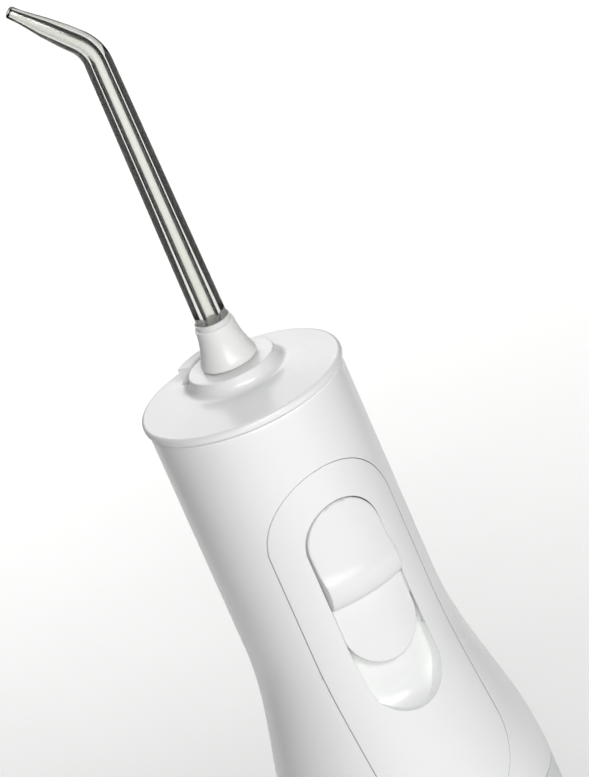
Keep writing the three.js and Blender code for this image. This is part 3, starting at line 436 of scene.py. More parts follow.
# %% [markdown]
# ## Plastics inside
# The chassis, rod and bulkhead are glass-filled nylon, where short fibres show as pale flecks. The
# charging socket and module are black PBT, a matt engineering plastic.

# %% Glass-filled nylon
def glass_filled_nylon():
    material, tree, shader, place = new_look("Glass_filled_nylon", IOR=1.53)
    vary(tree, shader, place, 11, (0.48, 0.6), ("83898D", "959B9F"))
    fibres = add_node(tree, "ShaderNodeTexVoronoi",
                      {"Vector": place, "Scale": per_mm(0.45), "Randomness": 1.0})
    relief(tree, shader, fibres.outputs["Distance"], 0.015)
    return material


# %% Black PBT
def black_pbt():
    material, tree, shader, place = new_look("Black_PBT", IOR=1.57)
    vary(tree, shader, place, 6, (0.42, 0.55), ("17181A", "222427"))
    grain = add_node(tree, "ShaderNodeTexNoise",
                     {"Vector": place, "Scale": per_mm(0.25), "Detail": 3.0})
    relief(tree, shader, grain.outputs["Fac"], 0.01)
    return material


# %% [markdown]
# ## Metals
# The motor's can is drawn steel with rings left by the tool, the springs, pins and screws are nickel
# plated, and the pinion is turned brass. A metal's colour is its reflection, so it needs little else.

# %% Drawn and plated steel
def drawn_steel():
    material, tree, shader, place = new_look("Drawn_steel", Metallic=1.0)
    vary(tree, shader, place, 6, (0.24, 0.38), ("A9ACB0", "BEC1C4"))
    rings = add_node(tree, "ShaderNodeTexWave",
                     {"Vector": place, "Scale": per_mm(0.8) / math.tau, "Distortion": 0.3},
                     bands_direction="Z")
    relief(tree, shader, rings.outputs["Fac"], 0.004)
    return material


def nickel_plate():
    material, tree, shader, place = new_look("Nickel_plated_steel", Metallic=1.0)
    vary(tree, shader, place, 3, (0.14, 0.26), ("C6C4BE", "D4D2CC"))
    pits = add_node(tree, "ShaderNodeTexNoise",
                    {"Vector": place, "Scale": per_mm(0.3), "Detail": 3.0})
    relief(tree, shader, pits.outputs["Fac"], 0.003)
    return material


# %% Turned brass
def turned_brass():
    material, tree, shader, place = new_look("Turned_brass", Metallic=1.0)
    vary(tree, shader, place, 3, (0.2, 0.34), ("C29A45", "D8B565"))
    turning = add_node(tree, "ShaderNodeTexWave",
                       {"Vector": place, "Scale": per_mm(0.5) / math.tau, "Distortion": 0.2},
                       bands_direction="Z")
    relief(tree, shader, turning.outputs["Fac"], 0.003)
    return material


# %% [markdown]
# ## Electrics
# The board is green solder mask over copper tracks, which show as slightly lighter raised paths. The
# cells wear a thin shrunk PVC sleeve. The reed switch is a sealed glass capsule.

# %% Solder mask
def solder_mask():
    material, tree, shader, place = new_look("Green_solder_mask", IOR=1.55, Coat_Weight=0.3)
    upright = add_node(tree, "ShaderNodeMapping",
                       {"Vector": place, "Rotation": (math.pi / 2, 0, 0)})
    tracks = add_node(tree, "ShaderNodeTexBrick", {
        "Vector": upright.outputs["Vector"], "Scale": per_mm(1.0), "Mortar Size": 0.16,
        "Mortar Smooth": 0.2, "Brick Width": 5.3, "Row Height": 1.27,
        "Color1": colour("1B5E36"), "Color2": colour("20693D"), "Mortar": colour("2F8A52")})
    tree.links.new(tracks.outputs["Color"], shader.inputs["Base Color"])
    shader.inputs["Roughness"].default_value = 0.32
    relief(tree, shader, tracks.outputs["Fac"], 0.03)
    return material


# %% PVC sleeve and glass
def shrink_sleeve():
    material, tree, shader, place = new_look("PVC_shrink_sleeve", IOR=1.53, Coat_Weight=0.2)
    vary(tree, shader, place, 12, (0.22, 0.36), ("2A659C", "3676AE"))
    creases = add_node(tree, "ShaderNodeTexWave",
                       {"Vector": place, "Scale": per_mm(9.0) / math.tau, "Distortion": 6.0},
                       bands_direction="Z")
    relief(tree, shader, creases.outputs["Fac"], 0.05)
    return material


def capsule_glass():
    material, tree, shader, place = new_look("Capsule_glass", IOR=1.47, Transmission_Weight=0.9)
    vary(tree, shader, place, 2, (0.02, 0.06), ("CFE3D2", "DCEBDD"))
    seeds = add_node(tree, "ShaderNodeTexNoise", {"Vector": place, "Scale": per_mm(0.6)})
    relief(tree, shader, seeds.outputs["Fac"], 0.004)
    return material


ABS, SATIN, ACETAL = glossy_white_abs(), satin_white_abs(), white_acetal()
TANK_PP, TIP_PC, SILICONE = milky_polypropylene(), clear_polycarbonate(), clear_silicone()
RUBBER, ELASTOMER = nitrile_rubber(), soft_white_elastomer()
NYLON, PBT = glass_filled_nylon(), black_pbt()
STEEL, NICKEL, BRASS = drawn_steel(), nickel_plate(), turned_brass()
BOARD, SLEEVE, GLASS = solder_mask(), shrink_sleeve(), capsule_glass()
print("materials:", len(bpy.data.materials))

# %% [markdown]
# ## The casing's line
# The handle is straight where the hand closes round it and opens in one soft curve to the tank's width.
# Everything that lies flush in it, such as the inlay and the port flap, follows the same line, so it is
# one function.

# %% The casing's radius at any height
NECK_R = 23.5
FOOT_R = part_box("reservoir_tank")[1].x / MM
FLARE_TOP, FLARE_END = 130.0, 76.0
GAP = 0.3
FRONT_FAR, FRONT_NEAR = -40, -8   # Y of a cut through the front wall
BACK_NEAR, BACK_FAR = 8, 40       # Y of a cut through the back wall


def body_radius(z):
    along = min(max((FLARE_TOP - z) / (FLARE_TOP - FLARE_END), 0), 1)
    return NECK_R + (FOOT_R - NECK_R) * (1 - math.cos(math.pi * along)) / 2


def body_side(z0, z1, inset=0.0, step=3.0):
    """Rings from z0 to z1 that follow the casing, `inset` mm below its surface."""
    count = max(2, round(abs(z1 - z0) / step))
    heights = [z0 + (z1 - z0) * i / count for i in range(count + 1)]
    return [(body_radius(z) - inset, z) for z in heights]


def body_skin(name, outer, inner, z0, z1):
    """The layer of the casing between two depths."""
    outside = body_side(z0, z1, outer)
    return turned(name, outside + body_side(z1, z0, inner) + outside[:1])


print("casing radius at the neck and the foot:", body_radius(180), body_radius(76))

# %% [markdown]
# ## Doors in the back wall
# The fill door and the port flap are built alike: a track-shaped leaf that lies flush in the wall, with
# a short tongue that turns on a pin below it. One description of their sizes serves the wall, which
# needs a frame and a pocket, and the door, so the two can't drift apart.

# %% Door sizes, wall cuts and leaves
PORT_DOOR = {"width": 15, "height": 11, "z": 93, "seat": 2.2, "frame": 4.0, "mouth": (9.4, 5.6),
             "side": body_radius}
FILL_DOOR = {"width": 25, "height": 18, "z": 52, "seat": 3.3, "frame": 5.0, "mouth": (17.5, 9.0),
             "side": lambda z: FOOT_R}
LEAF_DROP = 2.6     # the leaf is shorter than the doorway, to leave room for its hinge
LEAF_T = 1.8
TONGUE_HALF = 2.2
REACH = 16          # how far above and below a door its layers of wall extend


def layer(door, outer, inner):
    """A ring of the wall round a door, between two depths."""
    z0, z1 = door["z"] - REACH, door["z"] + REACH
    heights = [z0 + (z1 - z0) * i / 12 for i in range(13)]
    outside = [(door["side"](z) - outer, z) for z in heights]
    inside = [(door["side"](z) - inner, z) for z in reversed(heights)]
    return turned("layer", outside + inside + outside[:1])


KNUCKLE_ROOM = 1.45  # from the pin to the outer face, and to the edge of its space


def hinge_place(door):
    """The pin's Y and Z."""
    pin_z = door["z"] - door["height"] / 2 - 0.2
    return door["side"](pin_z) - KNUCKLE_ROOM, pin_z


def leaf_outline(door, margin):
    return track_bar("leaf", door["width"] + 2 * margin, door["height"] - LEAF_DROP + 2 * margin,
                     door["z"] + LEAF_DROP / 2, BACK_NEAR, BACK_FAR)


def cut_doorway(wall, door):
    """Thickens the wall round a door, then cuts its pocket, its hinge space and its mouth."""
    pin_y, pin_z = hinge_place(door)
    edge = track_bar("frame", door["width"] + 5, door["height"] + 5, door["z"], BACK_NEAR, BACK_FAR)
    combine(wall, combine(edge, layer(door, 0.4, door["frame"]), "INTERSECT"), "UNION")
    combine(wall, combine(leaf_outline(door, GAP), layer(door, -3, door["seat"]), "INTERSECT"),
            "DIFFERENCE")
    half = TONGUE_HALF + GAP
    combine(wall, block("knuckle", -half, half, pin_y - KNUCKLE_ROOM, BACK_FAR, pin_z - KNUCKLE_ROOM,
                        pin_z + 3.5),
            "DIFFERENCE")
    combine(wall, rod("pin_bore", 0.55, (-4.6, pin_y, pin_z), (4.6, pin_y, pin_z)), "DIFFERENCE")
    mouth = track_bar("mouth", *door["mouth"], door["z"] + LEAF_DROP / 2, BACK_NEAR, BACK_FAR)
    return combine(wall, mouth, "DIFFERENCE")


def door_leaf(name, door, notch):
    """The leaf with its hinge tongue, and a shallow notch at its top for a fingernail."""
    pin_y, pin_z = hinge_place(door)
    leaf = combine(leaf_outline(door, 0), layer(door, 0, LEAF_T), "INTERSECT")
    leaf.name = name
    knuckle = rod("knuckle", 1.15, (-TONGUE_HALF, pin_y, pin_z), (TONGUE_HALF, pin_y, pin_z))
    tongue = block("tongue", -TONGUE_HALF, TONGUE_HALF, pin_y - 0.9, pin_y + 1.0, pin_z, pin_z + 3.2)
    combine(leaf, combine(tongue, knuckle, "UNION"), "UNION")
    combine(leaf, rod("bore", 0.75, (-8, pin_y, pin_z), (8, pin_y, pin_z)), "DIFFERENCE")
    top = door["z"] + door["height"] / 2 + 0.4
    nail = rod("nail", notch, (0, door["side"](top) + notch - 0.9, top - 3),
               (0, door["side"](top) + notch - 0.9, top + 3), SMALL)
    combine(leaf, nail, "DIFFERENCE")
    return soften(leaf, 0.14, segments=2)


print("port pin at", [round(v, 2) for v in hinge_place(PORT_DOOR)])

# %% [markdown]
# ## Upper casing
# One hollow moulding from the tank to the cap. Its wall is pulled up outside, turned in at the rounded
# rim and led down again inside. Four screw posts stand in its foot. Then the pocket for the inlay, the
# hole behind the switch and the doorway of the charging port are cut, and every edge is rounded a
# little, because a sharp edge can't be moulded and wouldn't catch the light.

# %% Wall and screw posts
SHELL_LOW, SHELL_HIGH = FLARE_END + GAP, 187.7
WALL = 2.6
PANEL = {"width": 33, "low": 81, "high": 172.2, "thick": 1.2}
SLOT = {"width": 19.6, "low": 109.6, "high": 163.6, "floor": 20.3}
TUB_WALL = 1.3
POST_ANGLES = (32, 148, 225, 315)
POST_PITCH = 23.4


def post_place(angle):
    turn = math.radians(angle)
    return POST_PITCH * math.cos(turn), POST_PITCH * math.sin(turn)


def tall_track(name, width, low, high, y0=FRONT_FAR, y1=FRONT_NEAR):
    return track_bar(name, width, high - low, (low + high) / 2, y0, y1)


outer_wall = body_side(SHELL_LOW, SHELL_HIGH - 0.6) + arc(NECK_R - 0.6, SHELL_HIGH - 0.6, 0.6, 15, 90)
inner_wall = body_side(SHELL_HIGH, SHELL_LOW, WALL)
casing = turned("upper_casing", outer_wall + inner_wall + outer_wall[:1])

post = rod("post", 3.4, (0, 0, 81.3), (0, 0, 93), SMALL)
combine(post, block("rib", 0, 5.6, -1.2, 1.2, 81.3, 93), "UNION")
combine(post, rod("pilot", 1.5, (0, 0, 78), (0, 0, 91)), "DIFFERENCE")
for angle in POST_ANGLES:
    combine(casing, turned_copy(post, *post_place(angle), angle), "UNION")
bpy.data.objects.remove(post)
print("casing wall and posts:", len(casing.data.polygons), "faces")

# %% Pocket, hole and doorway
SEAM_GAP = 0.16
pocket = combine(tall_track("pocket", PANEL["width"] + 2 * SEAM_GAP, PANEL["low"] - SEAM_GAP,
                            PANEL["high"] + SEAM_GAP),
                 body_skin("pocket_layer", -2, PANEL["thick"] + GAP, PANEL["low"] - 3, PANEL["high"] + 3),
                 "INTERSECT")
combine(casing, pocket, "DIFFERENCE")
tub_room = TUB_WALL + GAP
combine(casing, tall_track("tub_hole", SLOT["width"] + 2 * tub_room, SLOT["low"] - tub_room,
                           SLOT["high"] + tub_room), "DIFFERENCE")
cut_doorway(casing, PORT_DOOR)
soften(casing, 0.1, segments=2)
settle(casing, "handle", ["handle_shell"], ABS)

# %% [markdown]
# ## Inlay and the recess of the switch
# The inlay is a thin track-shaped plate that lies flush in the casing, moulded in one with a tub behind
# it. The floor of the tub sweeps up to the face at its lower end, where the thumb slides off. That
# sweep is a quarter ellipse, turned about the handle's axis, and taken away from the cutter of the slot.

# %% Inlay
SCOOP_H = 6.0


def scoop_core():
    """What stays inside the slot: the round floor and its sweep up to the face."""
    lip = body_radius(SLOT["low"]) - 0.4
    drop = lip - SLOT["floor"]
    sweep = [(SLOT["floor"] + drop * (1 - math.sin(a)), SLOT["low"] + SCOOP_H * (1 - math.cos(a)))
             for a in (math.pi / 2 * i / 14 for i in range(15))]
    return turned("scoop", [(lip, SLOT["low"] - 4)] + sweep + [(SLOT["floor"], SLOT["high"] + 3)])


inlay = combine(tall_track("switch_inlay", PANEL["width"], PANEL["low"], PANEL["high"]),
                body_skin("face_layer", 0, PANEL["thick"], PANEL["low"] - 3, PANEL["high"] + 3),
                "INTERSECT")
tub = combine(tall_track("tub", SLOT["width"] + 2 * TUB_WALL, SLOT["low"] - TUB_WALL,
                         SLOT["high"] + TUB_WALL),
              turned("tub_layer", [(18.8, 100)] + body_side(100, 170, 0.6) + [(18.8, 170), (18.8, 100)]),
              "INTERSECT")
combine(inlay, tub, "UNION")
slot = combine(tall_track("slot", SLOT["width"], SLOT["low"], SLOT["high"]), scoop_core(), "DIFFERENCE")
combine(inlay, slot, "DIFFERENCE")
groove = combine(block("groove", -10.7, 10.7, -20.25, -18.65, 124.7, 152.3),
                 block("groove_core", -8.5, 8.5, -30, 0, 100, 170), "DIFFERENCE")
combine(inlay, groove, "DIFFERENCE")
soften(inlay, 0.12, segments=2)
ejector_mark = rod("ejector_mark", 1.8, (0, -22, 118.2), (0, -SLOT["floor"] + 0.12, 118.2), SMALL)
combine(inlay, ejector_mark, "DIFFERENCE")
settle(inlay, "handle", ["control_panel"], ABS)

# %% [markdown]
# ## Slide switch
# The slider's face is a thumb rest: it swells towards a crest, rolls over a rounded nose and steps down
# to a flat plate that covers the slot as it travels. Turned about the handle's axis and trimmed by the
# track outline, it keeps the curve of the casing across its width.

# %% Slider
RIDGE_WIDTH = 2.5
FACE_SIDES = 148
RIDGE_RISE, SLOPE_DROP = 1.15, 1.25
NOSE_H = 5.9
SLIDER = {"low": 122, "high": 163.3, "back": 20.6, "crest": 145.3, "crest_rise": 2.3, "plate_rise": -0.8}


def slider_face():
    """Rings up the face: plate, nose by a quarter ellipse, then a rounded ridge and a long slope."""
    lift = SLIDER["crest_rise"] - SLIDER["plate_rise"]
    plate = [(NECK_R + SLIDER["plate_rise"], SLIDER["low"] - 2)]
    nose = [(NECK_R + SLIDER["plate_rise"] + lift * math.cos(a), SLIDER["crest"] - NOSE_H * math.sin(a))
            for a in (math.pi / 2 * (1 - i / 12) for i in range(13))]
    length = SLIDER["high"] + 2 - SLIDER["crest"]
    slope = SLIDER["crest_rise"] - SLOPE_DROP
    swell = [(NECK_R + 0.1 + slope * (1 - s)
              + RIDGE_RISE * math.exp(-(s * length / RIDGE_WIDTH) ** 2),
              SLIDER["crest"] + length * s) for s in (i / 36 for i in range(1, 37))]
    return plate + nose + swell


slider = combine(tall_track("thumb_slider", SLOT["width"] - 2 * GAP, SLIDER["low"], SLIDER["high"]),
                 turned("slider_face", slider_face(), sides=FACE_SIDES), "INTERSECT")
combine(slider, rod("slider_back", SLIDER["back"], (0, 0, 100), (0, 0, 180), ROUND), "DIFFERENCE")
soften(slider, 0.28, segments=3)
for side in (-1, 1):
    ends = sorted((side * 8.5, side * 10.3))
    combine(slider, block("rail", *ends, -20.0, -18.9, 133, 152), "UNION")
combine(slider, block("magnet_pocket", -3.3, 3.3, -22.0, -15, 149.7, 158.3), "DIFFERENCE")
settle(slider, "switch", ["slide_switch"], SATIN)

# %% [markdown]
# ## Cap and collar
# The cap is a shallow disc with a rounded shoulder over a thin shadow line. The collar round the tip is
# a little off its centre and grows out of the disc in a fillet, so that water runs off. A curved hole
# in the collar's back is for the release button.

# %% Cap
TIP_X, TIP_Y = 2.0, 5.5
CAP_TOP, CAP_R, SEAM = 190.0, 24.2, 188.0
SHOULDER_R, FILLET_R = 0.95, 2.4
BUTTON_HALF_ANGLE = 38


def ring_sector(name, r0, r1, z0, z1, half_angle, margin=0.0):
    """Part of a ring round the tip, centred on the back, cut from a whole ring by two planes."""
    piece = turned(name, [(r0, z0), (r1, z0), (r1, z1), (r0, z1), (r0, z0)], TIP_X, TIP_Y)
    return trim_to_sector(piece, half_angle, margin)


def trim_to_sector(piece, half_angle, margin=0.0):
    for side in (-1, 1):
        turn = math.radians(half_angle)
        outward = Vector((side * math.cos(turn), -math.sin(turn), 0))
        edit_all(piece)
        bpy.ops.mesh.bisect(plane_co=mm(TIP_X, TIP_Y, CAP_TOP) + outward * mm(margin),
                            plane_no=outward, use_fill=True, clear_outer=True)
    use(piece)
    return piece


shoulder = arc(CAP_R - SHOULDER_R, CAP_TOP - SHOULDER_R, SHOULDER_R, 0, 90, 8)
cap = turned("cap_and_collar", [
    (18.6, 187.0), (18.6, 183), (20.6, 183), (20.6, SEAM), (CAP_R - 0.4, SEAM), (CAP_R, SEAM + 0.35),
    *shoulder, (16, CAP_TOP)])
fillet = [(13.0 - FILLET_R * math.sin(a), CAP_TOP + 2.42 - FILLET_R * math.cos(a))
          for a in (math.radians(76) * i / 10 for i in range(11))]
collar = turned("collar", [(13.3, CAP_TOP - 0.4), (13.2, CAP_TOP - 0.02), *fillet,
                           (10.42, CAP_TOP + 2.95), *arc(10.0, CAP_TOP + 3.1, 0.4, 10, 90, 5)],
                TIP_X, TIP_Y)
combine(cap, collar, "UNION")
combine(cap, ring_sector("button_hole", 10.3, 14.3, 180, 200, BUTTON_HALF_ANGLE, GAP), "DIFFERENCE")
combine(cap, rod("stem_hole", 4.0, (TIP_X, TIP_Y, 180), (TIP_X, TIP_Y, 200), SMALL), "DIFFERENCE")
soften(cap, 0.12, segments=2, angle=38)
settle(cap, "handle", ["top_cap"], ABS, corner=32)

# %% [markdown]
# ## Release button
# The button is a curved tongue behind the collar. Its foot reaches in under the cap to the latch of the
# tip. It is turned as a whole ring with an L-shaped section, then trimmed by two planes.

# %% Button
button = turned("tip_release_button", [
    (6.6, 183.4), (14.0, 183.4), (14.0, 193.5), *arc(13.5, 193.4, 0.5, 10, 90, 4),
    *arc(11.1, 193.4, 0.5, 90, 170, 4), (10.6, 193.3), (10.6, 185.2), (6.6, 185.2), (6.6, 183.4)],
    TIP_X, TIP_Y)
trim_to_sector(button, BUTTON_HALF_ANGLE)
soften(button, 0.1, segments=2, angle=50)
settle(button, "eject_button", ["eject_button"], SATIN)

# %% [markdown]
# ## Jet tip
# The hub is a bell that the fingers turn, on a stem that plugs into the socket. The tube is drawn out
# of its foot ring by ring: straight up, round the bend, along the nozzle, over the rounded lip of the
# orifice and back down the bore, so that inside and outside are one closed skin of clear plastic.

# %% Hub
HUB_LOW, HUB_HIGH = 193.85, 203.45
bell = [(4.72 + 1.98 * (1 - s) ** 1.75, HUB_LOW + 1.1 + (HUB_HIGH - 0.35 - HUB_LOW - 1.1) * s)
        for s in (i / 12 for i in range(13))]
hub = turned("tip_hub", [
    (1.3, 179.6), (3.2, 179.6), (3.7, 180.2), (3.7, 184.4), (2.75, 184.4), (2.75, 185.8), (3.7, 185.8),
    (3.7, HUB_LOW), *arc(6.3, HUB_LOW + 0.4, 0.4, -90, 0, 4), *bell,
    *arc(4.42, HUB_HIGH - 0.3, 0.3, 10, 90, 4), (4.3, HUB_HIGH), (4.25, HUB_HIGH + 1.2),
    (4.0, HUB_HIGH + 1.3), (3.98, 196.75), (1.3, 196.75), (1.3, 179.6)], TIP_X, TIP_Y, 96)
settle(hub, "tip", ["nozzle_hub"], ACETAL, corner=38)

# %% Tube
TUBE_FOOT = HUB_LOW + 3.2
STRAIGHT_TOP = 270.9
BEND_R = 10.0
BEND = math.radians(41.5)
HEADING = Vector((-0.937, 0.35, 0)).normalized()
UP = Vector((0, 0, 1))
NOZZLE_DIRECTION = UP * math.cos(BEND) + HEADING * math.sin(BEND)
BEND_CENTRE = Vector((TIP_X, TIP_Y, STRAIGHT_TOP)) + HEADING * BEND_R
BEND_AXIS = HEADING.cross(UP)
BEND_STEPS = 14
RISER_STEPS = 12


def swing(angle, centre, axis):
    """Pulls the selected ring round part of a bend."""
    bpy.ops.mesh.spin(steps=1, angle=angle, center=centre * MM, axis=axis)


def pull(shift):
    """Pulls the selected ring along a straight stretch."""
    bpy.ops.mesh.extrude_region_move(TRANSFORM_OT_translate={"value": shift * MM})


def scale_ring(factor, centre):
    bpy.ops.transform.resize(value=(factor, factor, factor), center_override=centre * MM)


def close_skin():
    """Merges the last ring with the first, and turns every face outwards."""
    bpy.ops.mesh.select_all(action="SELECT")
    bpy.ops.mesh.remove_doubles(threshold=mm(0.01))
    bpy.ops.mesh.normals_make_consistent(inside=False)


def bend_point(share):
    """The tube's centre at a share of the bend."""
    turn = BEND * share
    return BEND_CENTRE - HEADING * BEND_R * math.cos(turn) + UP * BEND_R * math.sin(turn)


tube_foot = Vector((TIP_X, TIP_Y, TUBE_FOOT))
bend_end = bend_point(1)
# (distance past the bend, outer radius) and the lip, then (distance, bore radius) on the way back
NOZZLE = [(3.4, 2.66), (8.45, 2.25), (11.4, 1.83), (14.3, 1.5), (16.5, 1.42), (16.8, 1.3), (16.9, 1.1),
          (16.9, 0.72), (16.8, 0.62), (16.2, 0.58), (13.0, 0.72), (8.45, 1.0), (0.0, 1.08)]
OUTER_FOOT, OUTER_TOP, OUTER_BENT = 3.85, 3.2, 2.75
BORE_FOOT, BORE_TOP, BORE_BENT = 1.3, 1.15, 1.08

use(None)
bpy.ops.mesh.primitive_circle_add(vertices=SMALL, radius=mm(OUTER_FOOT), location=tube_foot * MM)
tube = new_piece("tip_tube")
edit_all(tube)
radius = OUTER_FOOT
riser = STRAIGHT_TOP - TUBE_FOOT
for step in range(1, RISER_STEPS + 1):
    pull(UP * riser / RISER_STEPS)
    wanted = OUTER_FOOT + (OUTER_TOP - OUTER_FOOT) * step / RISER_STEPS
    scale_ring(wanted / radius, tube_foot + UP * riser * step / RISER_STEPS)
    radius = wanted
for step in range(1, BEND_STEPS + 1):
    swing(BEND / BEND_STEPS, BEND_CENTRE, BEND_AXIS)
    wanted = OUTER_TOP + (OUTER_BENT - OUTER_TOP) * step / BEND_STEPS
    scale_ring(wanted / radius, bend_point(step / BEND_STEPS))
    radius = wanted
reached = 0.0
for distance, wanted in NOZZLE:
    pull(NOZZLE_DIRECTION * (distance - reached))
    scale_ring(wanted / radius, bend_end + NOZZLE_DIRECTION * distance)
    reached, radius = distance, wanted
for step in range(1, BEND_STEPS + 1):
    swing(-BEND / BEND_STEPS, BEND_CENTRE, BEND_AXIS)
    wanted = BORE_BENT + (BORE_TOP - BORE_BENT) * step / BEND_STEPS
    scale_ring(wanted / radius, bend_point(1 - step / BEND_STEPS))
    radius = wanted
pull(UP * -riser)
scale_ring(BORE_FOOT / radius, tube_foot)
pull(UP * 0)
scale_ring(OUTER_FOOT / BORE_FOOT, tube_foot)
close_skin()
settle(tube, "tip", ["nozzle_tube"], TIP_PC, corner=60)

# %% [markdown]
# ## Tank, foot and doors
# The tank is a milky cup with a heavy rounded foot, a groove for its rubber ring and the filling
# doorway in its back. The two doors and the gasket on the fill door's inside follow the sizes above.

# %% Tank
TANK_LOW, TANK_HIGH, TANK_WALL = 2.0, 76.0, 2.0
side_outside = [*arc(26.2, TANK_LOW + 4, 4.0, -80, 0, 10), (30.55, 14), (30.95, 26), (31.3, 36),
                (FOOT_R, 44), (FOOT_R, 60), (FOOT_R, TANK_HIGH)]
side_inside = [(r - TANK_WALL, z) for r, z in reversed(side_outside[11:])]
tank = turned("tank_body", [
    (21.7, TANK_LOW), (21.7, 2.9), (26.3, 2.9), (26.3, TANK_LOW), *side_outside, *side_inside,
    *arc(26.2, TANK_LOW + 4, 2.0, 0, -88, 8)])
cut_doorway(tank, FILL_DOOR)
soften(tank, 0.12, segments=2)
settle(tank, "tank", ["reservoir_tank"], TANK_PP)

# %% Foot ring
foot = turned("non_slip_foot", [
    (22, 0.4), *arc(22.4, 0.4, 0.4, 180, 270, 3), (23.0, 0), (23.2, 0.35), (23.5, 0.35), (23.7, 0),
    (24.3, 0), (24.5, 0.35), (24.8, 0.35), (25.0, 0), *arc(25.6, 0.4, 0.4, -90, 0, 3), (26, 2.6),
    (22, 2.6), (22, 0.4)])
settle(foot, "tank", ["foot_ring"], RUBBER)

# %% Doors and gasket
settle(door_leaf("tank_fill_door", FILL_DOOR, 7.0), "fill_lid", ["fill_lid"], SATIN)
settle(door_leaf("port_flap", PORT_DOOR, 5.0), "port_cover", ["port_cover"],
       ELASTOMER)
gasket_z = FILL_DOOR["z"] + LEAF_DROP / 2
gasket = track_bar("fill_door_gasket", 23, 13.2, gasket_z, BACK_NEAR, BACK_FAR)
combine(gasket, track_bar("gasket_hole", 18.4, 9.8, gasket_z, BACK_NEAR - 1, BACK_FAR + 1), "DIFFERENCE")
combine(gasket, block("tongue_room", -3, 3, 8, 41, gasket_z - 8, gasket_z - 6), "DIFFERENCE")
combine(gasket, layer(FILL_DOOR, 2.0, 3.0), "INTERSECT")
settle(soften(gasket, 0.1, segments=2), "fill_lid", ["lid_gasket"], RUBBER)

# %% [markdown]
# ## What shows when the handle lifts
# Lifted off its tank, the handle shows its floor: a nylon plate with a plug that enters the tank, its
# lip seal, four cross-head screws, and the suction hose with a strainer at its end.

# %% Handle floor
FLOOR = {"low": 70.0, "high": 81.0, "plate": 77.2, "plug": 28.9, "inner": 26.8, "seal": 72.6}
HOSE_X, HOSE_Y = -13.5, -4.5
SCREW_HEAD = 77.5
floor_plate = turned("handle_floor", [
    (12, FLOOR["plate"]), (FLOOR["inner"], FLOOR["plate"]), (FLOOR["inner"], FLOOR["low"]),
    (FLOOR["plug"], FLOOR["low"]), (FLOOR["plug"], FLOOR["seal"] - 0.8),
    (FLOOR["plug"] - 1, FLOOR["seal"] - 0.8), (FLOOR["plug"] - 1, FLOOR["seal"] + 0.8),
    (FLOOR["plug"], FLOOR["seal"] + 0.8), (FLOOR["plug"], FLARE_END), (28.3, FLARE_END + 0.3),
    (28.3, FLOOR["high"]), (12, FLOOR["high"])])
combine(floor_plate, rod("hose_hole", 3.6, (HOSE_X, HOSE_Y, 76), (HOSE_X, HOSE_Y, 83)), "DIFFERENCE")
for angle in POST_ANGLES:
    x, y = post_place(angle)
    combine(floor_plate, rod("head_room", 2.9, (x, y, 76), (x, y, 79.2)), "DIFFERENCE")
    combine(floor_plate, rod("shank_room", 1.7, (x, y, 76), (x, y, 83)), "DIFFERENCE")
settle(soften(floor_plate, 0.1, segments=2), "handle", ["bulkhead"], NYLON)

lip_seal = turned("tank_lip_seal", [*arc(28.55, FLOOR["seal"], 0.6, 20, 340, 16), (29.0, FLOOR["seal"]),
                                    (28.55 + 0.564, FLOOR["seal"] + 0.205)])
settle(lip_seal, "handle", ["tank_seal"], RUBBER, corner=60)

# %% Screws, made once and copied
screw = turned("screw", [
    (1.9, SCREW_HEAD), (2.4, SCREW_HEAD + 0.25), (2.5, SCREW_HEAD + 0.6), (2.5, SCREW_HEAD + 1.35),
    (1.4, SCREW_HEAD + 1.4), *[(1.25 if i % 2 else 1.42, SCREW_HEAD + 1.8 + 0.32 * i) for i in range(26)],
    (0.5, SCREW_HEAD + 11)], sides=32)
for turn in (0, 90):
    width, depth = (1.5, 0.3) if turn else (0.3, 1.5)
    combine(screw, block("cross", -width, width, -depth, depth, SCREW_HEAD - 1, SCREW_HEAD + 0.8),
            "DIFFERENCE")
for number, angle in enumerate(POST_ANGLES, start=1):
    this_screw = copy_of(screw, f"handle_floor_screw_{number}")
    x, y = post_place(angle)
    this_screw.data.transform(Matrix.Translation(mm(x, y, 0)))
    settle(this_screw, "handle", [f"bulkhead_screw_{number}"], NICKEL)
bpy.data.objects.remove(screw)

# %% Hose, bush and strainer
HOSE_R, HOSE_BORE, HOSE_BEND = 2.2, 1.4, 5.0
HOSE_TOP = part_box("intake_hose")[1].z / MM - HOSE_R
HOSE_START = HOSE_X + HOSE_BEND
HOSE_FOOT = 12.0
hose_centre = Vector((HOSE_START, HOSE_Y, HOSE_TOP - HOSE_BEND))
hose_axis = Vector((0, 1, 0))
HOSE_STEPS = 10
use(None)
bpy.ops.mesh.primitive_circle_add(vertices=32, radius=mm(HOSE_R), rotation=(0, math.pi / 2, 0),
                                  location=mm(HOSE_START, HOSE_Y, HOSE_TOP))
hose = new_piece("suction_hose")
edit_all(hose)
drop = UP * (HOSE_FOOT - (HOSE_TOP - HOSE_BEND))
for step in range(HOSE_STEPS):
    swing(math.pi / 2 / HOSE_STEPS, hose_centre, hose_axis)
pull(drop)
pull(UP * 0)
scale_ring(HOSE_BORE / HOSE_R, Vector((HOSE_X, HOSE_Y, HOSE_FOOT)))
pull(-drop)
for step in range(HOSE_STEPS):
    swing(-math.pi / 2 / HOSE_STEPS, hose_centre, hose_axis)
pull(UP * 0)
scale_ring(HOSE_R / HOSE_BORE, Vector((HOSE_START, HOSE_Y, HOSE_TOP)))
close_skin()
settle(hose, "handle", ["intake_hose"], SILICONE, corner=60)

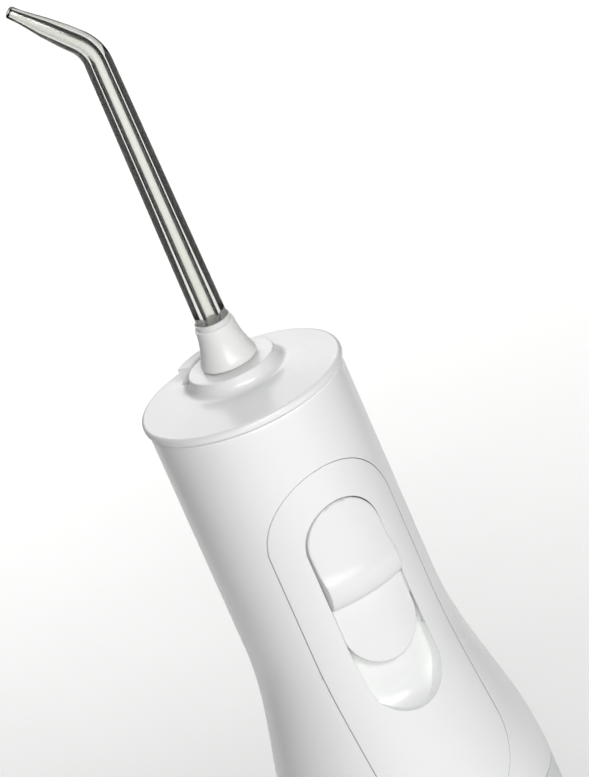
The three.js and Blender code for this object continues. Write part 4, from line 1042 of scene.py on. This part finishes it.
bush = turned("hose_bush", [(2.4, 75.6), (4.0, 75.6), (4.2, 75.8), (4.2, 76.9), (3.3, 76.9), (3.3, 81.3),
                            (4.2, 81.3), (4.2, 82.5), (2.4, 82.5), (2.4, 75.6)], HOSE_X, HOSE_Y, SMALL)
settle(soften(bush, 0.12, segments=2), "handle", ["hose_grommet"], RUBBER)

strainer = turned("suction_strainer", [
    (3.2, 7), (3.6, 7.6), (3.6, 10.5), (2.45, 10.5), (2.45, 9.6), (2.4, 9.6), (2.4, 8)],
    HOSE_X, HOSE_Y, SMALL)
slit = block("slit", -5, 5, -0.35, 0.35, 8.2, 9.6)
for turn in (0, 45, 90, 135):
    combine(strainer, turned_copy(slit, HOSE_X, HOSE_Y, turn), "DIFFERENCE")
bpy.data.objects.remove(slit)
settle(strainer, "handle", ["intake_filter"], NYLON)

stem_seal = turned("stem_seal", [*arc(3.4, 185.1, 0.45, 0, 350, 18), (3.85, 185.1)], TIP_X, TIP_Y, SMALL)
settle(stem_seal, "tip_seal", ["nozzle_o_ring"], RUBBER, corner=60)

# %% [markdown]
# ## Finishes of the pieces inside
# The machinery inside keeps the frame's own shapes, which are exact where it matters, at the gears,
# springs and bores. Each gets the finish of what it is made of.

# %% Finish the frame's own nodes
INSIDE = {
    ABS: ["nozzle_socket", "pump_cylinder", "pump_head"],
    ACETAL: ["crown_gear", "piston"],
    NYLON: ["chassis", "connecting_rod"],
    PBT: ["charge_socket", "charge_module"],
    STEEL: ["motor", "gear_axle", "wrist_pin"],
    NICKEL: ["eject_spring", "outlet_valve_spring", "outlet_valve_ball", "switch_magnet",
             "lid_hinge_pin", "port_hinge_pin"],
    BRASS: ["motor_pinion"],
    BOARD: ["circuit_board"],
    SLEEVE: ["battery_cell_1", "battery_cell_2"],
    GLASS: ["reed_switch"],
    SILICONE: ["outlet_hose"],
    RUBBER: ["piston_seal"],
}
finished = set()
for look, names in INSIDE.items():
    for name in names:
        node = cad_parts[name]
        node.data.materials.clear()
        node.data.materials.append(look)
        finished.add(name)
shown = {name for name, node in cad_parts.items() if not node.hide_render}
print("frame nodes shown:", len(shown), "without a finish:", sorted(shown - finished))

# %% [markdown]
# ## Studio
# A plain pale floor, two soft boxes on the camera's side, a third over the floor behind that whitens
# it, and a dim world. Two dark cards stand beside the object, as they do in a product studio, to draw
# dark rims on clear and glossy plastic. They block no light and the camera doesn't see them.

# %% Floor and cards
def plain_look(name, hex_value, second_hex, roughness, grain):
    """A quiet surface for the stage, with a faint mottle so that it isn't one flat colour."""
    material, tree, shader, place = new_look(name)
    vary(tree, shader, place, grain, (roughness, roughness + 0.05), (hex_value, second_hex))
    return material


use(None)
bpy.ops.mesh.primitive_plane_add(size=12, location=(0, 0, 0))
ground = new_piece("studio_floor")
ground.data.materials.append(plain_look("Pale_paper_sweep", "F8F8F7", "F5F5F4", 0.85, 40))

CAMERA_AZIMUTH, CAMERA_ELEVATION, CAMERA_ROLL = 20.27, 22.18, -23.67
azimuth, elevation, roll = (math.radians(v) for v in (CAMERA_AZIMUTH, CAMERA_ELEVATION, CAMERA_ROLL))
forward = Vector((math.sin(azimuth) * math.cos(elevation), math.cos(azimuth) * math.cos(elevation),
                  -math.sin(elevation)))
level_right = Vector((math.cos(azimuth), -math.sin(azimuth), 0))
level_up = level_right.cross(forward)
camera_right = level_right * math.cos(roll) + level_up * math.sin(roll)
camera_up = level_up * math.cos(roll) - level_right * math.sin(roll)

CARD_DISTANCE, CARD_LENGTH, CARD_HEIGHT, CARD_BACK = 0.30, 0.80, 0.80, 0.15
ahead = Vector((forward.x, forward.y, 0)).normalized()
card_centre = ahead * CARD_BACK + Vector((0, 0, 0.3))
card_look = plain_look("Black_card", "020202", "040404", 0.9, 30)
for side in (-1, 1):
    bpy.ops.mesh.primitive_plane_add(size=1)
    card = bpy.context.object
    card.name = "card_left" if side < 0 else "card_right"
    away = level_right * side
    card.matrix_world = (Matrix.Translation(away * CARD_DISTANCE + card_centre)
                         @ away.to_track_quat("Z", "Y").to_matrix().to_4x4()
                         @ Matrix.Diagonal((CARD_LENGTH, CARD_HEIGHT, 1, 1)))
    bpy.context.view_layer.update()
    bpy.ops.object.transform_apply(location=True, rotation=True, scale=True)
    card.data.materials.append(card_look)
    card.visible_camera = False
    card.visible_shadow = False
    card.visible_diffuse = False
print("cards stand", CARD_DISTANCE, "m to each side")

# %% Lights
def soft_box(name, place, target, size, watts):
    """A square area light that faces its target."""
    data = bpy.data.lights.new(name, "AREA")
    data.shape = "SQUARE"
    data.size = size
    data.energy = watts
    lamp = bpy.data.objects.new(name, data)
    bpy.context.scene.collection.objects.link(lamp)
    lamp.location = place
    lamp.rotation_mode = "QUATERNION"
    lamp.rotation_quaternion = (Vector(target) - Vector(place)).to_track_quat("-Z", "Y")
    return lamp


middle = Vector((0, 0, 0.16))
toward_camera = -forward
behind = ahead * 0.75
raise_up = Vector((0, 0, 0.3))
soft_box("front_box", middle + toward_camera * 1.6, middle, 0.5, 9.0)
soft_box("right_box", middle + toward_camera * 1.2 + level_right * 0.5 + raise_up, middle, 0.5, 8.3)
soft_box("floor_box", behind + raise_up * 2, behind, 0.9, 6.4)
print("three soft boxes")

world = bpy.data.worlds.new("dim_studio")
world.use_nodes = True
background = world.node_tree.nodes["Background"]
background.inputs["Color"].default_value = colour("D8DADB")
background.inputs["Strength"].default_value = 0.10
bpy.context.scene.world = world
bpy.context.scene.view_settings.view_transform = "Standard"

# %% [markdown]
# ## Camera
# A long lens from about a metre and a half away, a little above the object and a little to its left,
# rolled so that the flosser leans over in the frame as if it were held.

# %% Camera
LENS = 287.7
DISTANCE = 1.3974
SIDE_SHIFT, UP_SHIFT = 0.01224, -0.00130
cap_middle = Vector((0, 0, 0.190))
camera = bpy.data.objects.new("camera", bpy.data.cameras.new("camera"))
bpy.context.scene.collection.objects.link(camera)
place = cap_middle + camera_right * SIDE_SHIFT + camera_up * UP_SHIFT - forward * DISTANCE
camera.matrix_world = Matrix((
    (camera_right.x, camera_up.x, -forward.x, place.x),
    (camera_right.y, camera_up.y, -forward.y, place.y),
    (camera_right.z, camera_up.z, -forward.z, place.z),
    (0, 0, 0, 1)))
camera.data.lens = LENS
camera.data.sensor_width = 36
camera.data.clip_start = 0.05
bpy.context.scene.camera = camera
print("camera at", tuple(round(v, 3) for v in place))
